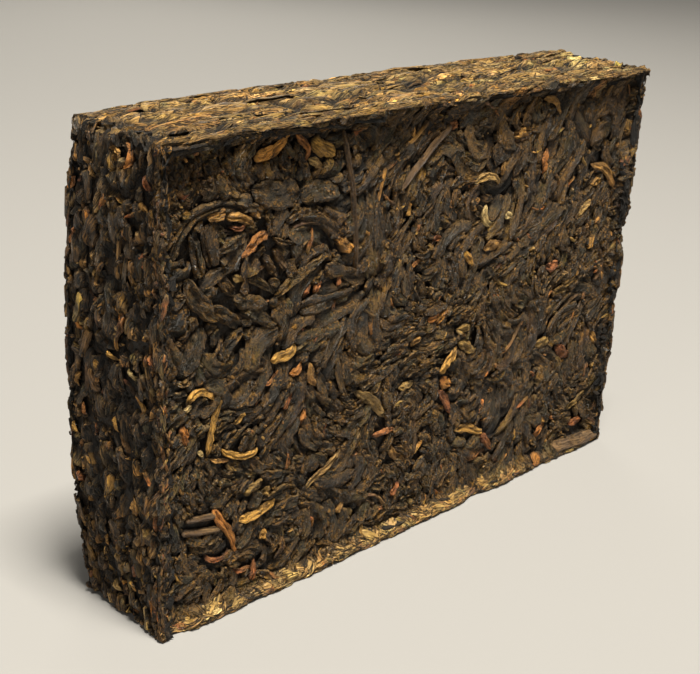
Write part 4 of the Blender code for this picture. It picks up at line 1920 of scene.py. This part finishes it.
@dataclass
class PressedCore:
    """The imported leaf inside: the brick's own form, a little smaller, with a leafy relief."""

    form: BrickForm
    noise: LatticeNoise
    depth: float = 1.4
    relief: float = 1.0
    ridge_length: float = 1.9
    lump_length: float = 4.5
    round_off: float = 3.0
    step: float = 1.35
    finish: CoreFinish = field(default_factory=CoreFinish)

    def arrays(self) -> MeshArrays:
        """The closed core: six grids sewn at their borders, sunk by the depth and a ridged noise.

        Returns:
            The arrays to write the mesh from.
        """
        points, quads, total = [], [], 0
        for side in self.form.side_frames():
            side_points, side_quads = side.grid(self.step)
            points.append(side_points)
            quads.append(side_quads + total)
            total += len(side_points)
        block = np.concatenate(points)
        _, first, index = np.unique(np.round(block, 4), axis=0, return_index=True, return_inverse=True)
        block = block[first]
        ridges = 1.0 - np.abs(2.0 * self.noise.at(block, self.ridge_length) - 1.0)
        lumps = self.noise.at(block + 50.0, self.lump_length)
        sunk = self.depth + self.relief * (0.9 - 0.6 * ridges - 0.6 * lumps)
        out = self.form.way_out(block, self.round_off)
        corners = index.reshape(-1)[np.concatenate(quads)]
        sizes = np.full(len(corners), 4)
        return MeshArrays(self.form.surface(block) - out * sunk[:, None], corners.ravel(), sizes)

    def build(self, patterns: SharedPatterns) -> None:
        """Writes the core's mesh, dresses it and puts it in place of the plain brick.

        Args:
            patterns: The shared node groups.
        """
        arrays = self.arrays()
        core = write_mesh("pressed_core", arrays, self.finish.material(patterns))
        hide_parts(CAD_NODE)
        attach(core, BODY)
        log.info("pressed_core: %d faces", len(arrays.face_sizes))


@dataclass
class LooseLeaves:
    """Every separate leaf: first those laid one by one, then those strewn round them."""

    press: LeafPress
    patterns: SharedPatterns
    seed: int = 100
    finishes: dict[str, bpy.types.Material] = field(default_factory=dict)

    def finish(self, look: LeafFinish) -> bpy.types.Material:
        """A finish's material, built once."""
        if look.name not in self.finishes:
            self.finishes[look.name] = look.material(self.patterns)
        return self.finishes[look.name]

    def write(self, name: str, kind: LeafKind, leaves: Leaves) -> None:
        """Writes leaves as one piece.

        Args:
            name: The piece's name.
            kind: What kind of leaf.
            leaves: The leaves.
        """
        piece = write_mesh(name, self.press.arrays(leaves, kind.cut), self.finish(kind.finish), kind.crease)
        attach(piece, BODY)
        log.info("%s: %d leaves, %d triangles", name, len(leaves), len(leaves) * kind.cut.triangles)

    def build(self) -> None:
        """Lays and strews every piece, each with its own draws."""
        laid = []
        for order, piece in enumerate(LAID_PIECES):
            strewer = LeafStrewer(self.press, self.seed + 50 + order)
            leaves = together([strewer.lay(piece.kind, side, rows) for side, rows in piece.laid.items()])
            self.write(piece.name, piece.kind, leaves)
            laid.append(leaves)
        every_laid = together(laid)
        for order, piece in enumerate(STREWN_PIECES):
            strewer = LeafStrewer(self.press, self.seed + order)
            leaves = together([strewer.strew(piece.kind, strewn, every_laid) for strewn in piece.strewn])
            for number, part in enumerate(np.array_split(np.arange(len(leaves)), piece.parts), 1):
                name = f"{piece.name}_{number}" if piece.parts > 1 else piece.name
                self.write(name, piece.kind, leaves.only(part))


@dataclass
class Studio:
    """The pale floor, the soft lights and the camera."""

    target: Place = (-0.02336, -0.01366, 0.05094)
    azimuth: float = -45.12
    elevation: float = 21.81
    roll: float = 3.0
    distance: float = 0.2475
    lens: float = 65.6
    floor_size: float = 3.0
    floor_colour: Colour = (0.25, 0.247, 0.245)
    floor_roughness: float = 0.9
    # Each light's name, place and side in metres, and power in watts
    lights: tuple[tuple[str, Place, float, float], ...] = (
        ("key", (-0.09, -0.27, 1.15), 0.30, 39.0),
        ("fill", (0.30, -0.75, 0.35), 0.5, 0.5),
        ("back_fill", (0.45, 0.70, 0.40), 0.5, 2.0),
        ("side_fill", (-0.75, -0.25, 0.40), 0.5, 1.25),
    )
    light_colour: Colour = (1.0, 0.94, 0.82)
    lit_place: Place = (0.0, 0.0, 0.045)
    sky_colour: Colour = (1.0, 0.96, 0.90)
    sky_strength: float = 0.08

    def camera(self) -> None:
        """Aims the camera: its back vector comes from azimuth and elevation, and roll turns it."""
        turn, lift, roll = (math.radians(angle) for angle in (self.azimuth, self.elevation, self.roll))
        back = np.array((math.sin(turn) * math.cos(lift), -math.cos(turn) * math.cos(lift), math.sin(lift)))
        level = np.array((math.cos(turn), math.sin(turn), 0.0))
        upright = np.cross(back, level)
        right = math.cos(roll) * level + math.sin(roll) * upright
        up = math.cos(roll) * upright - math.sin(roll) * level
        data = bpy.data.cameras.new("camera")
        data.lens = self.lens
        data.sensor_width = 36.0
        data.clip_start = 0.01
        camera = bpy.data.objects.new("camera", data)
        place = np.array(self.target) + self.distance * back
        camera.matrix_world = self.placed(right, up, back, place)
        bpy.context.scene.collection.objects.link(camera)
        bpy.context.scene.camera = camera

    @staticmethod
    def placed(right: Array, up: Array, back: Array, place: Array) -> Matrix:
        """The matrix whose columns are an object's right, up and back vectors and its place."""
        matrix = np.eye(4)
        matrix[:3] = np.stack((right, up, back, place), axis=1)
        return Matrix(matrix.tolist())

    def floor(self) -> None:
        """A plain pale floor."""
        half = self.floor_size / 2
        mesh = bpy.data.meshes.new("floor")
        corners = [(-half, -half, 0.0), (half, -half, 0.0), (half, half, 0.0), (-half, half, 0.0)]
        mesh.from_pydata(corners, [], [(0, 1, 2, 3)])
        made = bpy.data.materials.new("pale_floor")
        made.use_nodes = True
        shader = made.node_tree.nodes["Principled BSDF"]
        shader.inputs["Base Color"].default_value = (*self.floor_colour, 1.0)
        shader.inputs["Roughness"].default_value = self.floor_roughness
        mesh.materials.append(made)
        floor = bpy.data.objects.new("floor", mesh)
        bpy.context.scene.collection.objects.link(floor)

    def light(self, name: str, place: Place, size: float, power: float) -> None:
        """A soft square light that faces the middle of the brick.

        Args:
            name: What it is called.
            place: Where it hangs, in metres.
            size: Its side.
            power: Its power in watts.
        """
        data = bpy.data.lights.new(name, "AREA")
        data.size = size
        data.energy = power
        data.color = self.light_colour
        lamp = bpy.data.objects.new(name, data)
        away = np.array(place) - np.array(self.lit_place)
        away = away / np.linalg.norm(away)
        side = np.cross((0.0, 1.0, 0.02), away)
        side = side / np.linalg.norm(side)
        lamp.matrix_world = self.placed(side, np.cross(away, side), away, np.array(place))
        bpy.context.scene.collection.objects.link(lamp)

    def build(self) -> None:
        """Sets up the camera, the floor, the lights and the pale surroundings."""
        self.camera()
        self.floor()
        for name, place, size, power in self.lights:
            self.light(name, place, size, power)
        world = bpy.data.worlds.new("studio")
        world.use_nodes = True
        background = world.node_tree.nodes["Background"]
        background.inputs["Color"].default_value = (*self.sky_colour, 1.0)
        background.inputs["Strength"].default_value = self.sky_strength
        bpy.context.scene.world = world
        bpy.context.scene.view_settings.view_transform = "Standard"


def main() -> None:
    """Builds the core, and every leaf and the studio."""
    logging.basicConfig(level=logging.INFO, format="%(message)s")
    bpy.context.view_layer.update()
    low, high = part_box(CAD_NODE)
    form = BrickForm(*((b - a) / MM for a, b in zip(low, high)))
    noise = LatticeNoise(seed=31)
    patterns = SharedPatterns()
    PressedCore(form, noise).build(patterns)
    LooseLeaves(LeafPress(form, noise), patterns).build()
    Studio().build()
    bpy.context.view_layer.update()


if __name__ == "__main__":
    main()
